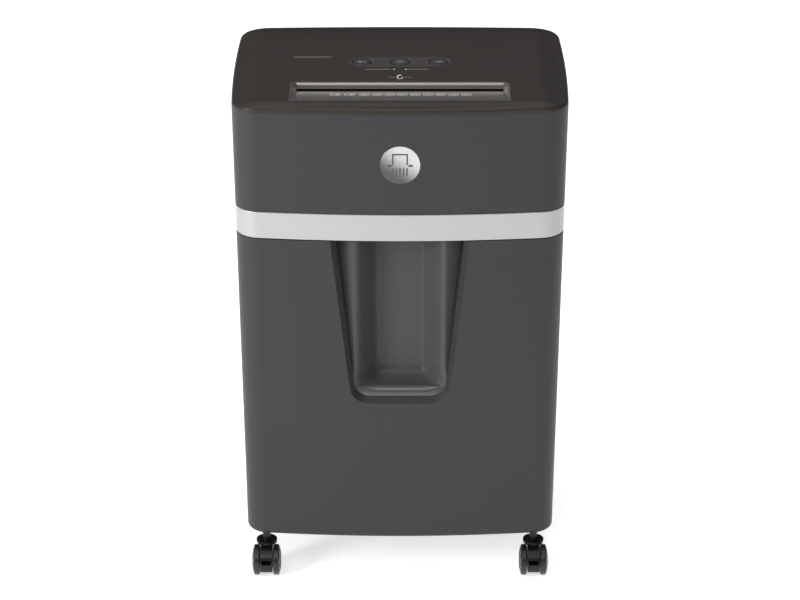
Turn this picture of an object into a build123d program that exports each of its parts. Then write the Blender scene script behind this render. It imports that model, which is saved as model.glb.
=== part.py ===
"""Paper shredder on casters: a drafted cabinet, a cutting head under a lid with a feed slot,
and a pull-out waste bin whose front panel holds a deep grip recess.

Frame: origin on the floor at the middle of the footprint, +X to the user's right,
+Y to the back, +Z up. All sizes are in millimetres.
"""
from math import acos, atan2, cos, hypot, pi, radians, sin, sqrt, tan
import os

from build123d import *

# ---------------------------------------------------------------- overall sizes
WIDTH = 362.0
DEPTH = 268.0
HEIGHT = 570.0
DRAFT = 0.75                    # degrees that every outside wall leans in, going down
FRONT_BOW = 12.2                # how far the plan's sides bulge beyond straight lines
SIDE_BOW = 4.0
BACK_BOW = 5.0
FRONT_CORNER = 30.0
BACK_CORNER = 34.0
WALL = 3.0
REVEAL = 0.4                    # half of the dark groove on each side of the band

# ---------------------------------------------------------------- levels
LID_HEIGHT = 7.0
FASCIA_HEIGHT = 113.4
BAND_HEIGHT = 31.4
BODY_BOTTOM = 52.0
SEAM_Z = HEIGHT - LID_HEIGHT
BAND_TOP = SEAM_Z - FASCIA_HEIGHT
BAND_BOTTOM = BAND_TOP - BAND_HEIGHT
BODY_TOP = BAND_BOTTOM - REVEAL
BOTTOM_ROUND = 5.0

# ---------------------------------------------------------------- clearances
GAP = 0.3                       # between pieces of different bodies
SEAT = 0.2                      # between fitted pieces of one body
RUN = 0.05                      # radial, running fits
BIN_SEAM = 0.8                  # visible gap between the bin's front and the cabinet

# ---------------------------------------------------------------- feed slot
SLOT_FRONT = -105.0
SLOT_BACK = -51.3
SLOT_HALF = 116.7
SLOT_DEPTH = 5.2
SLOT_CHAMFER = 4.5
SLOT_RIM = 1.2
THROAT_HALF = 111.0
THROAT_Y = -61.75
THROAT_GAP = 8.5
THROAT_LIP = 4.0
GUIDE_WALL = 2.0
GUIDE_FLANGE = 5.0
GUIDE_BOTTOM = HEIGHT - 43.0
LEVER_WINDOW = (HEIGHT - 36.0, HEIGHT - 14.0)
LEVER_WINDOW_HALF = 4.0
LEVER_PIN_R = 1.5
LEVER_LUG_X = 6.0
LEVER_Z = HEIGHT - 21.0

# ---------------------------------------------------------------- lid
LID_FLAT_HALF = 151.0           # half width of the level part
LID_FLAT_BACK = 73.0
LID_FALL = 2.6                  # drop from the level part to the outline
LID_ROUND = 4.0
LID_SKIN = 3.0
SKIRT = 6.0                     # how far the lid's inner skirt reaches below the seam

# ---------------------------------------------------------------- controls
BUTTON_R = 9.75
BUTTON_PITCH = 42.0
BUTTON_Y = 10.4
BUTTON_PROUD = 0.5
BUTTON_TRAVEL = 1.5
PANEL_LENGTH = 113.0
PANEL_WIDTH = 31.0
PANEL_THICK = 1.0
PANEL_PROUD = 0.2
LENS_R = 1.2
LENS_X = 6.5
LENS_Y = -12.4
BOARD_TOP = HEIGHT - 16.4
BOARD_THICK = 1.6
BOARD_LENGTH = 128.0
BOARD_WIDTH = 62.0
SWITCH_TOP = HEIGHT - 12.0              # top of the small switches under the buttons
EMBLEM_R = 21.4
EMBLEM_Z = SEAM_Z - 56.0
EMBLEM_SEAT = 1.0                # how deep the badge sits in the fascia
EMBLEM_DOME = 0.7

# ---------------------------------------------------------------- cutting unit
CUT_Z = SEAM_Z - 63.0
CUT_SPACING = 38.0
DISC_R = 22.0
DISC_ROOT = 19.5
DISC_THICK = 3.6
DISC_PITCH = 8.0
DISC_COUNT = 28
DISC_TEETH = 3
HEX_FLATS = 18.0
JOURNAL_R = 8.0
PLATE_X = 118.0                 # inner face of each side plate
PLATE_THICK = 3.0
PLATE_FOOT = BODY_TOP + 10.2
PLATE_TOP = SEAM_Z - 35.0
BUSH_R = 11.0
ROD_R = 4.0
FINGER = 3.0
FRONT_Y = THROAT_Y - CUT_SPACING / 2
REAR_Y = THROAT_Y + CUT_SPACING / 2

# ---------------------------------------------------------------- gears (teeth, module)
CUT_TEETH, CUT_MODULE = 19, 2.0
DRIVE_TEETH, LOW_PINION_TEETH, LOW_MODULE = 32, 12, 2.0
LOW_WHEEL_TEETH, HIGH_PINION_TEETH, HIGH_MODULE = 42, 14, 1.5
HIGH_WHEEL_TEETH, MOTOR_PINION_TEETH, MOTOR_MODULE = 56, 14, 1.0
BACKLASH = 0.3
LOW_DROP = 18.3                 # low idler below the cutter axes
HIGH_RISE = 21.6                # high idler above the low idler
MOTOR_DROP = 18.0               # motor below the high idler
PIN_R = 4.0
LAYER_CUT = (124.0, 132.0)
LAYER_LOW = (134.0, 142.0)
LAYER_HIGH = (144.0, 150.0)
LAYER_MOTOR = (152.0, 157.0)
GEAR_PLATE_X = 160.0
GEAR_PLATE_THICK = 2.5

# ---------------------------------------------------------------- motor
MOTOR_R = 32.0
MOTOR_BACK = -10.0
MOTOR_FRONT = 108.0
FAN_R = 24.0

# ---------------------------------------------------------------- lower housing and its screws
FLOOR_THICK = 4.0
BOSS_R = 5.0
BOSS_HEIGHT = 26.0
SCREW_X = WIDTH / 2 - 26.0
SCREW_YS = (-80.0, 85.0)
SCREW_R = 1.8
SCREW_HEAD_R = 3.6
SCREW_HEAD = 2.4
CHUTE_HALF = 112.0

# ---------------------------------------------------------------- rear fittings
SWITCH_X = -85.0
SWITCH_Z = SEAM_Z - 83.0
SWITCH_W = 21.0
SWITCH_H = 15.0
SWITCH_DEEP = 18.0
ROCKER_TILT = 8.0
GLAND_X = -130.0
GLAND_Z = SEAM_Z - 93.0
GLAND_BORE_R = 3.6
GLAND_SLEEVE_R = 7.0
GLAND_FLANGE_R = 10.0
GLAND_LENGTH = 16.0
SPOT_FACE = 0.7                 # flat seat cut into the bowed back wall under a flange

# ---------------------------------------------------------------- cabinet and bin
BIN_SEAM_Y = -98.0
LIP = 12.0                      # width of the cabinet's bottom flange, from the outside
BASE_THICK = 4.0
TUB_HALF = 163.0
TUB_FRONT = -84.0
TUB_BACK = 114.0
TUB_BOTTOM = 80.0
TUB_TOP = BODY_TOP - 12.8
TUB_CORNER = 22.0
TUB_WALL = 2.5
RECESS_TOP_HALF = 76.0
RECESS_LOW_HALF = 57.0
RECESS_LOW_Z = 240.0
RECESS_BOTTOM_Z = 221.0
RECESS_ROUND = 22.0
BEVEL = 7.0
BEVEL_DEEP = 9.0
TROUGH_HALF = 23.5
RIDGE_IN = 41.5
RIDGE_OUT = 49.3
TROUGH_DEEP = 40.0
INSERT_THICK = 3.5
BIN_BOSS_X = 118.0
PIN_X = 100.0
PIN_Y = 95.0
PIN_PLUNGER_R = 2.0

# ---------------------------------------------------------------- casters
CASTER_X = 151.0
CASTER_Y = 105.0
CASTER_TRAIL = 11.0
WHEEL_R = 17.5
WHEEL_IN = 7.6
WHEEL_TREAD = 6.8
WHEEL_DOME = 1.9
WHEEL_ROUND = 1.2
AXLE_R = 2.5
FORK_HALF = 6.8
SHOULDER_Z = 38.5
SHOULDER_R = 11.7
SHOULDER_THICK = 3.2
STEM_R = 4.6
SOCKET_R = 9.0
SOCKET_NECK = 6.0
SOCKET_TOP = 76.0


# ================================================================ helpers
def block(x0, x1, y0, y1, z0, z1):
    """Box between two opposite corners."""
    centre = Pos((x0 + x1) / 2, (y0 + y1) / 2, (z0 + z1) / 2)
    return centre * Box(x1 - x0, y1 - y0, z1 - z0)


def rod_x(x0, x1, y, z, r):
    """Cylinder along X."""
    return Pos((x0 + x1) / 2, y, z) * Rot(0, 90, 0) * Cylinder(r, x1 - x0)


def rod_y(x, y0, y1, z, r):
    """Cylinder along Y."""
    return Pos(x, (y0 + y1) / 2, z) * Rot(90, 0, 0) * Cylinder(r, y1 - y0)


def rod_z(x, y, z0, z1, r):
    """Cylinder along Z."""
    return Pos(x, y, (z0 + z1) / 2) * Cylinder(r, z1 - z0)


def prism_z(points, z0, z1):
    """Straight prism on a polygon in plan."""
    face = make_face(Polyline(points, close=True))
    return extrude(Pos(0, 0, z0) * face, amount=z1 - z0, dir=(0, 0, 1))


def prism_x(points, x0, x1):
    """Straight prism on a polygon of (y, z) points."""
    face = make_face(Plane.YZ * Polyline(points, close=True))
    return extrude(Pos(x0, 0, 0) * face, amount=x1 - x0, dir=(1, 0, 0))


def prism_y(points, y0, y1):
    """Straight prism on a polygon of (x, z) points."""
    face = make_face(Polyline([(x, 0, z) for x, z in points], close=True))
    return extrude(Pos(0, y0, 0) * face, amount=y1 - y0, dir=(0, 1, 0))


def save(name, *pieces):
    """Write one node; several separate pieces become one group of solids."""
    solids = [s for p in pieces for s in p.solids()]
    shape = solids[0] if len(solids) == 1 else Compound(children=solids)
    export_step(shape, f"parts/{name}.step")


# ================================================================ the drafted outline
def bow_radius(half, bow):
    """Radius of an arc whose chord is 2 * half and whose height is bow."""
    return (half * half + bow * bow) / (2 * bow)


def crossing(c0, r0, c1, r1, near):
    """The crossing of two circles that lies nearest to a point."""
    dx, dy = c1[0] - c0[0], c1[1] - c0[1]
    d = hypot(dx, dy)
    a = (r0 * r0 - r1 * r1 + d * d) / (2 * d)
    h = sqrt(r0 * r0 - a * a)
    px, py = c0[0] + a * dx / d, c0[1] + a * dy / d
    both = [(px + h * dy / d, py - h * dx / d), (px - h * dy / d, py + h * dx / d)]
    return min(both, key=lambda p: hypot(p[0] - near[0], p[1] - near[1]))


def plan(inset):
    """The cabinet's plan at the seam level, drawn in by inset: four bowed sides."""
    half_w, half_d = WIDTH / 2, DEPTH / 2
    front_r = bow_radius(half_w, FRONT_BOW)
    side_r = bow_radius(half_d, SIDE_BOW)
    back_r = bow_radius(half_w, BACK_BOW)
    x, front, back = half_w - inset, -half_d + inset, half_d - inset
    front_c, back_c, side_c = (0, -half_d + front_r), (0, half_d - back_r), (half_w - side_r, 0)
    fr = crossing(front_c, front_r - inset, side_c, side_r - inset, (x, front))
    br = crossing(back_c, back_r - inset, side_c, side_r - inset, (x, back))
    fl, bl = (-fr[0], fr[1]), (-br[0], br[1])
    edges = [
        ThreePointArc(fl, (0, front), fr),
        ThreePointArc(fr, (x, 0), br),
        ThreePointArc(br, (0, back), bl),
        ThreePointArc(bl, (-x, 0), fl),
    ]
    face = Face(Wire(edges))
    face = face.fillet_2d(FRONT_CORNER - inset, [v for v in face.vertices() if v.Y < 0])
    return face.fillet_2d(BACK_CORNER - inset, [v for v in face.vertices() if v.Y > DEPTH / 4])


def lean(z):
    """How far the drafted wall has come in at a level."""
    return (SEAM_Z - z) * tan(radians(DRAFT))


def drafted(z0, z1, inset=0.0):
    """Solid inside the drafted outline between two levels, drawn in by inset."""
    levels = [Pos(0, 0, z) * plan(inset + lean(z)) for z in (z0, z1)]
    return loft(levels, ruled=True)


def ring(z0, z1, outer, inner):
    """Drafted ring between two insets."""
    return drafted(z0, z1, outer) - drafted(z0 - 1, z1 + 1, inner)


def front_face_y(z):
    """Y of the front face on the centre line."""
    return -DEPTH / 2 + lean(z)


def back_face_y(x, z):
    """Y of the back face at a place across the width."""
    r = bow_radius(WIDTH / 2, BACK_BOW)
    return DEPTH / 2 - r + sqrt(r * r - x * x) - lean(z)


# ================================================================ places worked out from the sizes
THROAT_FRONT = THROAT_Y - THROAT_GAP / 2
THROAT_BACK = THROAT_Y + THROAT_GAP / 2
SLOT_FLOOR = HEIGHT - SLOT_DEPTH
LEVER_Y = THROAT_BACK + GUIDE_WALL + 8
BUTTON_X = (-BUTTON_PITCH, 0.0, BUTTON_PITCH)
BOARD_Y = BUTTON_Y - 4
POST_INSET = 5.0
POSTS = [(sx * (BOARD_LENGTH / 2 - POST_INSET), BOARD_Y + sy * (BOARD_WIDTH / 2 - POST_INSET))
         for sx in (-1, 1) for sy in (-1, 1)]
EMBLEM_BACK = front_face_y(EMBLEM_Z) + EMBLEM_SEAT
FLOOR_Z = PLATE_FOOT
BOSS_FOOT = BAND_TOP + 8
SCREWS = [(sx * SCREW_X, y) for sx in (-1, 1) for y in SCREW_YS]
SWITCH_FACE = back_face_y(SWITCH_X, SWITCH_Z)
GLAND_FACE = back_face_y(GLAND_X, GLAND_Z)
ROCKER_Y = SWITCH_FACE - 5
PLUNGER_BOTTOM = BODY_TOP - 1.5
CASTERS = {f"{depth}_{side}": (sx * CASTER_X, sy * CASTER_Y)
           for depth, sy in (("front", -1), ("rear", 1)) for side, sx in (("left", -1), ("right", 1))}
BASE_Z = BODY_BOTTOM + WALL + SEAT
BEVEL_FRONT = front_face_y(BODY_TOP) + 1.0
BEVEL_BACK = BEVEL_FRONT + BEVEL_DEEP
INSERT_FRONT = BEVEL_BACK + SEAT
INSERT_BACK = INSERT_FRONT + TROUGH_DEEP - BEVEL_DEEP
BIN_BOSSES = [(sx * BIN_BOSS_X, z) for sx in (-1, 1) for z in (TUB_BOTTOM + 60, TUB_TOP - 35)]


# ================================================================ head: lid and feed slot
def slot_outline(grow, z):
    """Six-sided outline of the feed slot's mouth."""
    h, f, b, c = SLOT_HALF + grow, SLOT_FRONT - grow, SLOT_BACK + grow, SLOT_CHAMFER
    pts = [(-h, f), (h, f), (h, b - c), (h - c, b), (-h + c, b), (-h, b - c)]
    return Pos(0, 0, z) * make_face(Polyline(pts, close=True))


def pill(length, width, z0, z1):
    """Flat bar with round ends around the button row."""
    r = width / 2
    x = length / 2 - r
    bar = block(-x, x, BUTTON_Y - r, BUTTON_Y + r, z0, z1)
    return bar + rod_z(-x, BUTTON_Y, z0, z1, r) + rod_z(x, BUTTON_Y, z0, z1, r)


def top_cover():
    """Lid: flat in the middle, falling gently to the sides and back, round at the edge."""
    half, back = WIDTH / 2, DEPTH / 2
    slab = extrude(Pos(0, 0, SEAM_Z) * plan(0), amount=LID_HEIGHT)
    low = HEIGHT - LID_FALL
    across = [(-half - 1, SEAM_Z), (half + 1, SEAM_Z), (half + 1, low), (LID_FLAT_HALF, HEIGHT),
              (-LID_FLAT_HALF, HEIGHT), (-half - 1, low)]
    along = [(-back - 1, SEAM_Z), (back + 1, SEAM_Z), (back + 1, low), (LID_FLAT_BACK, HEIGHT),
             (-back - 1, HEIGHT)]
    slab = slab & prism_y(across, -back - 1, back + 1) & prism_x(along, -half - 1, half + 1)
    slab = fillet([e for e in slab.edges() if on_rim(e)], LID_ROUND)
    pocket = extrude(Pos(0, 0, SEAM_Z) * plan(WALL), amount=LID_HEIGHT - LID_SKIN)
    foot = SEAM_Z - SKIRT
    skirt = extrude(Pos(0, 0, foot) * plan(WALL + GAP), amount=LID_HEIGHT + SKIRT - LID_SKIN)
    skirt -= extrude(Pos(0, 0, foot - 1) * plan(2 * WALL), amount=LID_HEIGHT + SKIRT + 2)
    lower_skirt = skirt & drafted(foot, SEAM_Z, WALL + SEAT)
    upper_skirt = skirt & extrude(Pos(0, 0, SEAM_Z) * plan(WALL), amount=LID_HEIGHT)
    lid = slab - pocket + lower_skirt + upper_skirt
    under = HEIGHT - LID_SKIN
    for x, y in POSTS:
        lid += rod_z(x, y, BOARD_TOP, under, 3)
    lid -= extrude(slot_outline(SLOT_RIM + SEAT, SEAM_Z - 10), amount=30)
    lid -= pill(PANEL_LENGTH + 2 * SEAT, PANEL_WIDTH + 2 * SEAT,
                HEIGHT + PANEL_PROUD - PANEL_THICK, HEIGHT + 5)
    for x in BUTTON_X:
        lid -= rod_z(x, BUTTON_Y, SEAM_Z - 5, HEIGHT + 5, BUTTON_R + GAP)
    for side in (-1, 1):
        lid -= rod_z(side * LENS_X, LENS_Y, SEAM_Z - 5, HEIGHT + 5, LENS_R + SEAT)
    return lid


def on_rim(edge):
    """True for the lid's top outline: an edge that lies on the vertical outer wall."""
    p = edge @ 0.5
    outside = not plan(0.05).is_inside(Vector(p.X, p.Y, 0))
    level = abs((edge @ 0).Z - (edge @ 1).Z) < LID_HEIGHT / 2
    return edge.center().Z > HEIGHT - 1.5 * LID_FALL and level and outside


def entry_guide():
    """Insert in the lid: ramp, cheeks and back wall of the slot, then the throat below."""
    rim_z = HEIGHT - 0.2
    body = extrude(slot_outline(SLOT_RIM, SLOT_FLOOR - 3), amount=rim_z - SLOT_FLOOR + 3)
    low, flange_top = SLOT_FLOOR - 3, SEAM_Z - SEAT
    flange = extrude(slot_outline(SLOT_RIM + GUIDE_FLANGE, low), amount=flange_top - low)
    mouth = loft([slot_outline(0, HEIGHT), throat_face(SLOT_FLOOR)], ruled=True)
    body = body + flange - mouth
    w, g = THROAT_HALF + GUIDE_WALL, GUIDE_WALL
    chute = block(-w, w, THROAT_FRONT - g, THROAT_BACK + g, GUIDE_BOTTOM, SLOT_FLOOR - 1)
    body += chute
    low, high = GUIDE_BOTTOM - 1, SLOT_FLOOR + 1
    body -= block(-THROAT_HALF, THROAT_HALF, THROAT_FRONT, THROAT_BACK, low, high)
    body -= block(-LEVER_WINDOW_HALF, LEVER_WINDOW_HALF, THROAT_BACK - 1, THROAT_BACK + g + 1, *LEVER_WINDOW)
    for side in (-1, 1):
        x = side * LEVER_LUG_X
        body += block(x - 1.5, x + 1.5, THROAT_BACK + g - 0.5, LEVER_Y + 4, LEVER_Z - 4, SLOT_FLOOR - 2)
    return body - rod_x(-9, 9, LEVER_Y, LEVER_Z, LEVER_PIN_R + RUN)


def throat_face(z):
    """Floor of the slot's mouth: from the ramp's foot to the lip behind the throat."""
    h, f, b, c = THROAT_HALF, THROAT_FRONT, THROAT_BACK + THROAT_LIP, SLOT_CHAMFER / 3
    pts = [(-h, f), (h, f), (h, b - c), (h - c, b), (-h + c, b), (-h, b - c)]
    return Pos(0, 0, z) * make_face(Polyline(pts, close=True))


def sensor_lever():
    """Flag that the paper pushes down; it turns on two stub axles."""
    arm = block(-2.5, 2.5, THROAT_Y - 1, LEVER_Y, LEVER_Z - 1.2, LEVER_Z + 1.2)
    tail = block(-2.5, 2.5, LEVER_Y - 2, LEVER_Y + 9, LEVER_Z - 1.2, LEVER_Z + 1.2)
    hub = rod_x(-4, 4, LEVER_Y, LEVER_Z, 3)
    return arm + tail + hub + rod_x(-7.2, 7.2, LEVER_Y, LEVER_Z, LEVER_PIN_R)


def button_panel():
    """Oblong plate around the three buttons."""
    top = HEIGHT + PANEL_PROUD
    plate = pill(PANEL_LENGTH, PANEL_WIDTH, top - PANEL_THICK, top)
    for x in BUTTON_X:
        plate -= rod_z(x, BUTTON_Y, top - 5, top + 5, BUTTON_R + GAP)
    return plate


def button(x):
    """Round cap with a dished top, a flange below the lid and a stem."""
    top = HEIGHT + BUTTON_PROUD
    under = HEIGHT - LID_SKIN
    cap = rod_z(x, BUTTON_Y, under - 2, top, BUTTON_R)
    cap = fillet([e for e in cap.edges() if e.center().Z > top - 0.1], 0.6)
    cap += rod_z(x, BUTTON_Y, under - 2, under - GAP, BUTTON_R + 1.6)
    cap += rod_z(x, BUTTON_Y, SWITCH_TOP + BUTTON_TRAVEL + GAP, under - 1.5, 2)
    return cap - Pos(x, BUTTON_Y, top + 39.4) * Sphere(40)


def control_board():
    """Circuit board with three small switches and two lamp bodies."""
    y0, y1 = BOARD_Y - BOARD_WIDTH / 2, BOARD_Y + BOARD_WIDTH / 2
    board = block(-BOARD_LENGTH / 2, BOARD_LENGTH / 2, y0, y1, BOARD_TOP - BOARD_THICK, BOARD_TOP)
    for x in BUTTON_X:
        board += block(x - 3, x + 3, BUTTON_Y - 3, BUTTON_Y + 3, BOARD_TOP, SWITCH_TOP)
    for side in (-1, 1):
        board += rod_z(side * LENS_X, LENS_Y, BOARD_TOP, BOARD_TOP + 6, 1.5)
    return board


def indicator_lenses():
    """Two light pipes from the lamps to the lid's top."""
    return [rod_z(side * LENS_X, LENS_Y, BOARD_TOP + 6, HEIGHT + 0.1, LENS_R) for side in (-1, 1)]


# ================================================================ head: shells
def head_shell():
    """Fascia all round, with the openings for the rear fittings and screw bosses."""
    shell = ring(BAND_TOP + REVEAL, SEAM_Z, 0, WALL)
    shell = fillet([e for e in shell.edges() if e.center().Z < BAND_TOP + REVEAL + 0.1
                    and on_outline(e, BAND_TOP + REVEAL)], 1.0)
    for x, y in SCREWS:
        boss_top = BOSS_FOOT + BOSS_HEIGHT
        post = rod_z(x, y, BOSS_FOOT, boss_top, BOSS_R)
        rib = block(min(x, x * 1.2), max(x, x * 1.2), y - 1.5, y + 1.5, BOSS_FOOT, boss_top)
        shell += post + (rib & drafted(BOSS_FOOT, boss_top, WALL / 2))
        shell -= rod_z(x, y, BOSS_FOOT - 1, boss_top - 8, SCREW_R)
    shell -= rod_y(0, -DEPTH, EMBLEM_BACK, EMBLEM_Z, EMBLEM_R + SEAT)
    back, w, h = DEPTH / 2, SWITCH_W / 2, SWITCH_H / 2
    hole, seat = 1 - SEAT, SEAT
    shell -= block(SWITCH_X - w + hole, SWITCH_X + w - hole, back - 20, back + 5,
                   SWITCH_Z - h + hole, SWITCH_Z + h - hole)
    shell -= block(SWITCH_X - w - seat, SWITCH_X + w + seat, SWITCH_FACE - SPOT_FACE, back + 5,
                   SWITCH_Z - h - seat, SWITCH_Z + h + seat)
    shell -= rod_y(GLAND_X, back - 20, back + 5, GLAND_Z, GLAND_SLEEVE_R + SEAT)
    shell -= rod_y(GLAND_X, GLAND_FACE - SPOT_FACE, back + 5, GLAND_Z, GLAND_FLANGE_R + SEAT)
    return shell


def on_outline(edge, z):
    """True for an edge on the outer drafted wall at a level."""
    p = edge @ 0.5
    return not plan(lean(z) + 0.5).is_inside(Vector(p.X, p.Y, 0))


def emblem_badge():
    """Round, slightly domed badge let into the fascia."""
    front = -DEPTH / 2 + 0.05
    disc = rod_y(0, front, EMBLEM_BACK, EMBLEM_Z, EMBLEM_R)
    sphere_r = bow_radius(EMBLEM_R, EMBLEM_DOME)
    return disc & Pos(0, front + sphere_r, EMBLEM_Z) * Sphere(sphere_r)


def silver_band():
    """Bright band around the foot of the head."""
    band = ring(BAND_BOTTOM + REVEAL, BAND_TOP - REVEAL, 0, WALL)
    levels = (BAND_BOTTOM + REVEAL, BAND_TOP - REVEAL)
    rims = [e for e in band.edges() for z in levels if abs(e.center().Z - z) < 0.1 and on_outline(e, z)]
    return fillet(rims, 0.8)


def head_base():
    """Lower housing: a rim behind the band, a floor, and the opening that the strips fall through."""
    top, low, rim = BAND_TOP + 8, BODY_TOP - 4, 2 * WALL
    base = drafted(low, top, WALL + SEAT)
    base -= drafted(FLOOR_Z, top + 1, rim)
    base -= drafted(low - 1, FLOOR_Z - FLOOR_THICK, rim)
    base -= block(-WIDTH, WIDTH, -DEPTH, BIN_SEAM_Y + 5, low - 1, BAND_BOTTOM + REVEAL)
    y0, y1 = FRONT_Y - DISC_R, REAR_Y + DISC_R
    base -= block(-CHUTE_HALF, CHUTE_HALF, y0, y1, FLOOR_Z - 10, FLOOR_Z + 10)
    for x, y in SCREWS:
        base += rod_z(x, y, FLOOR_Z - 1, BOSS_FOOT, BOSS_R)
        base -= rod_z(x, y, FLOOR_Z - 10, BOSS_FOOT + 1, SCREW_R + 0.4)
    base -= rod_z(PIN_X, PIN_Y, FLOOR_Z - 10, FLOOR_Z + 10, PIN_PLUNGER_R + RUN)
    x0, half = MOTOR_BACK + 10, 24
    cradle = block(x0, x0 + 6, MOTOR_Y - half, MOTOR_Y + half, FLOOR_Z - 1, MOTOR_Z - 12)
    return base + (cradle - rod_x(x0 - 1, x0 + 7, MOTOR_Y, MOTOR_Z, MOTOR_R + SEAT))


def head_screws():
    """Screws that hold the lower housing to the head shell."""
    screws = []
    for x, y in SCREWS:
        under = FLOOR_Z - FLOOR_THICK
        shank = rod_z(x, y, under - SCREW_HEAD / 2, BOSS_FOOT + 16, SCREW_R - 0.1)
        screws.append(shank + rod_z(x, y, under - SCREW_HEAD, under, SCREW_HEAD_R))
    return screws


# ================================================================ head: rear fittings
def power_switch_frame():
    """Rectangular switch body with a bezel outside the back wall."""
    w, h = SWITCH_W / 2, SWITCH_H / 2
    bezel = block(SWITCH_X - w, SWITCH_X + w, SWITCH_FACE - SPOT_FACE, SWITCH_FACE + 1.2,
                  SWITCH_Z - h, SWITCH_Z + h)
    body = block(SWITCH_X - w + 1.2, SWITCH_X + w - 1.2, SWITCH_FACE - SWITCH_DEEP, SWITCH_FACE,
                 SWITCH_Z - h + 1.2, SWITCH_Z + h - 1.2)
    frame = bezel + body
    frame -= block(SWITCH_X - w + 3, SWITCH_X + w - 3, SWITCH_FACE - 12, SWITCH_FACE + 5,
                   SWITCH_Z - h + 2, SWITCH_Z + h - 2)
    return frame - rod_x(SWITCH_X - w + 2, SWITCH_X + w - 2, ROCKER_Y, SWITCH_Z, 1.2 + RUN)


def power_rocker():
    """Rocker key on a cross pin, tilted to its off side."""
    w, h = SWITCH_W / 2 - 3.4, SWITCH_H / 2 - 2.9
    outline = [(-3, -h), (4.6, -h), (3.6, 0), (4.6, h), (-3, h)]
    key = extrude(make_face(Plane.YZ * Polyline(outline, close=True)), amount=w, both=True)
    key += Rot(0, 90, 0) * Cylinder(1.2, SWITCH_W - 4.6)
    return Pos(SWITCH_X, ROCKER_Y, SWITCH_Z) * Rot(-ROCKER_TILT, 0, 0) * key


def inlet_gland():
    """Round gland where the mains lead enters: flange outside, sleeve through the wall."""
    y = GLAND_FACE
    gland = rod_y(GLAND_X, y - SPOT_FACE, y + 1.6, GLAND_Z, GLAND_FLANGE_R)
    gland += rod_y(GLAND_X, y + 1.6 - GLAND_LENGTH, y, GLAND_Z, GLAND_SLEEVE_R)
    return gland - rod_y(GLAND_X, y - 40, y + 10, GLAND_Z, GLAND_BORE_R)


# ================================================================ gear geometry
def involute(angle):
    """Involute function of a pressure angle."""
    return tan(angle) - angle


def gear(teeth, module, x0, x1, centre, phase, bore):
    """Spur gear along X with flat-sided involute teeth."""
    pitch_r = teeth * module / 2
    base_r = pitch_r * cos(radians(20))
    tip_r, root_r = pitch_r + 0.8 * module, pitch_r - 1.2 * module
    low = max(base_r, root_r + 0.05 * module)
    half = pi / (2 * teeth) - BACKLASH / (2 * pitch_r) + involute(radians(20))
    radii = [root_r, low, (low + tip_r) / 2, tip_r]
    turns = [half - involute(acos(min(1.0, base_r / max(r, base_r)))) for r in radii]
    flank = list(zip(radii, turns))
    points = []
    for k in range(teeth):
        mid = phase + 2 * pi * k / teeth
        sides = [(r, mid - t) for r, t in flank] + [(r, mid + t) for r, t in reversed(flank)]
        points += [(centre[0] + r * cos(a), centre[1] + r * sin(a)) for r, a in sides]
    return prism_x(points, x0, x1) - rod_x(x0 - 1, x1 + 1, centre[0], centre[1], bore)


def mesh_phase(c0, teeth0, phase0, c1, teeth1):
    """Phase that sets gear 1's gap opposite gear 0's tooth."""
    line = atan2(c1[1] - c0[1], c1[0] - c0[0])
    return line + pi + pi / teeth1 - (phase0 - line) * teeth0 / teeth1


def beside(c0, distance, rise):
    """Axis at a centre distance behind another one, and higher by rise."""
    return (c0[0] + sqrt(distance ** 2 - rise ** 2), c0[1] + rise)


def centre_distance(teeth0, teeth1, module):
    """Distance between two meshing axes."""
    return (teeth0 + teeth1) * module / 2


FRONT_AXIS = (FRONT_Y, CUT_Z)
REAR_AXIS = (REAR_Y, CUT_Z)
LOW_AXIS = beside(REAR_AXIS, centre_distance(DRIVE_TEETH, LOW_PINION_TEETH, LOW_MODULE), -LOW_DROP)
HIGH_AXIS = beside(LOW_AXIS, centre_distance(LOW_WHEEL_TEETH, HIGH_PINION_TEETH, HIGH_MODULE), HIGH_RISE)
MOTOR_AXIS = beside(HIGH_AXIS, centre_distance(HIGH_WHEEL_TEETH, MOTOR_PINION_TEETH, MOTOR_MODULE),
                    -MOTOR_DROP)
MOTOR_Y, MOTOR_Z = MOTOR_AXIS
DRIVE_PHASE = 0.0
LOW_PHASE = mesh_phase(REAR_AXIS, DRIVE_TEETH, DRIVE_PHASE, LOW_AXIS, LOW_PINION_TEETH)
HIGH_PHASE = mesh_phase(LOW_AXIS, LOW_WHEEL_TEETH, LOW_PHASE, HIGH_AXIS, HIGH_PINION_TEETH)
MOTOR_PHASE = mesh_phase(HIGH_AXIS, HIGH_WHEEL_TEETH, HIGH_PHASE, MOTOR_AXIS, MOTOR_PINION_TEETH)
STANDOFFS = [(MOTOR_Y + 8, MOTOR_Z + 33), (MOTOR_Y - 22, MOTOR_Z - 31)]


# ================================================================ head: cutting unit
def hexagon_shaft(axis, end):
    """Hexagon shaft with round journals at both ends."""
    r = HEX_FLATS / sqrt(3)
    points = [(axis[0] + r * cos(k * pi / 3), axis[1] + r * sin(k * pi / 3)) for k in range(6)]
    shaft = prism_x(points, -PLATE_X + 1, PLATE_X - 1)
    return shaft + rod_x(-PLATE_X - PLATE_THICK - 4, end, axis[0], axis[1], JOURNAL_R)


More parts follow.
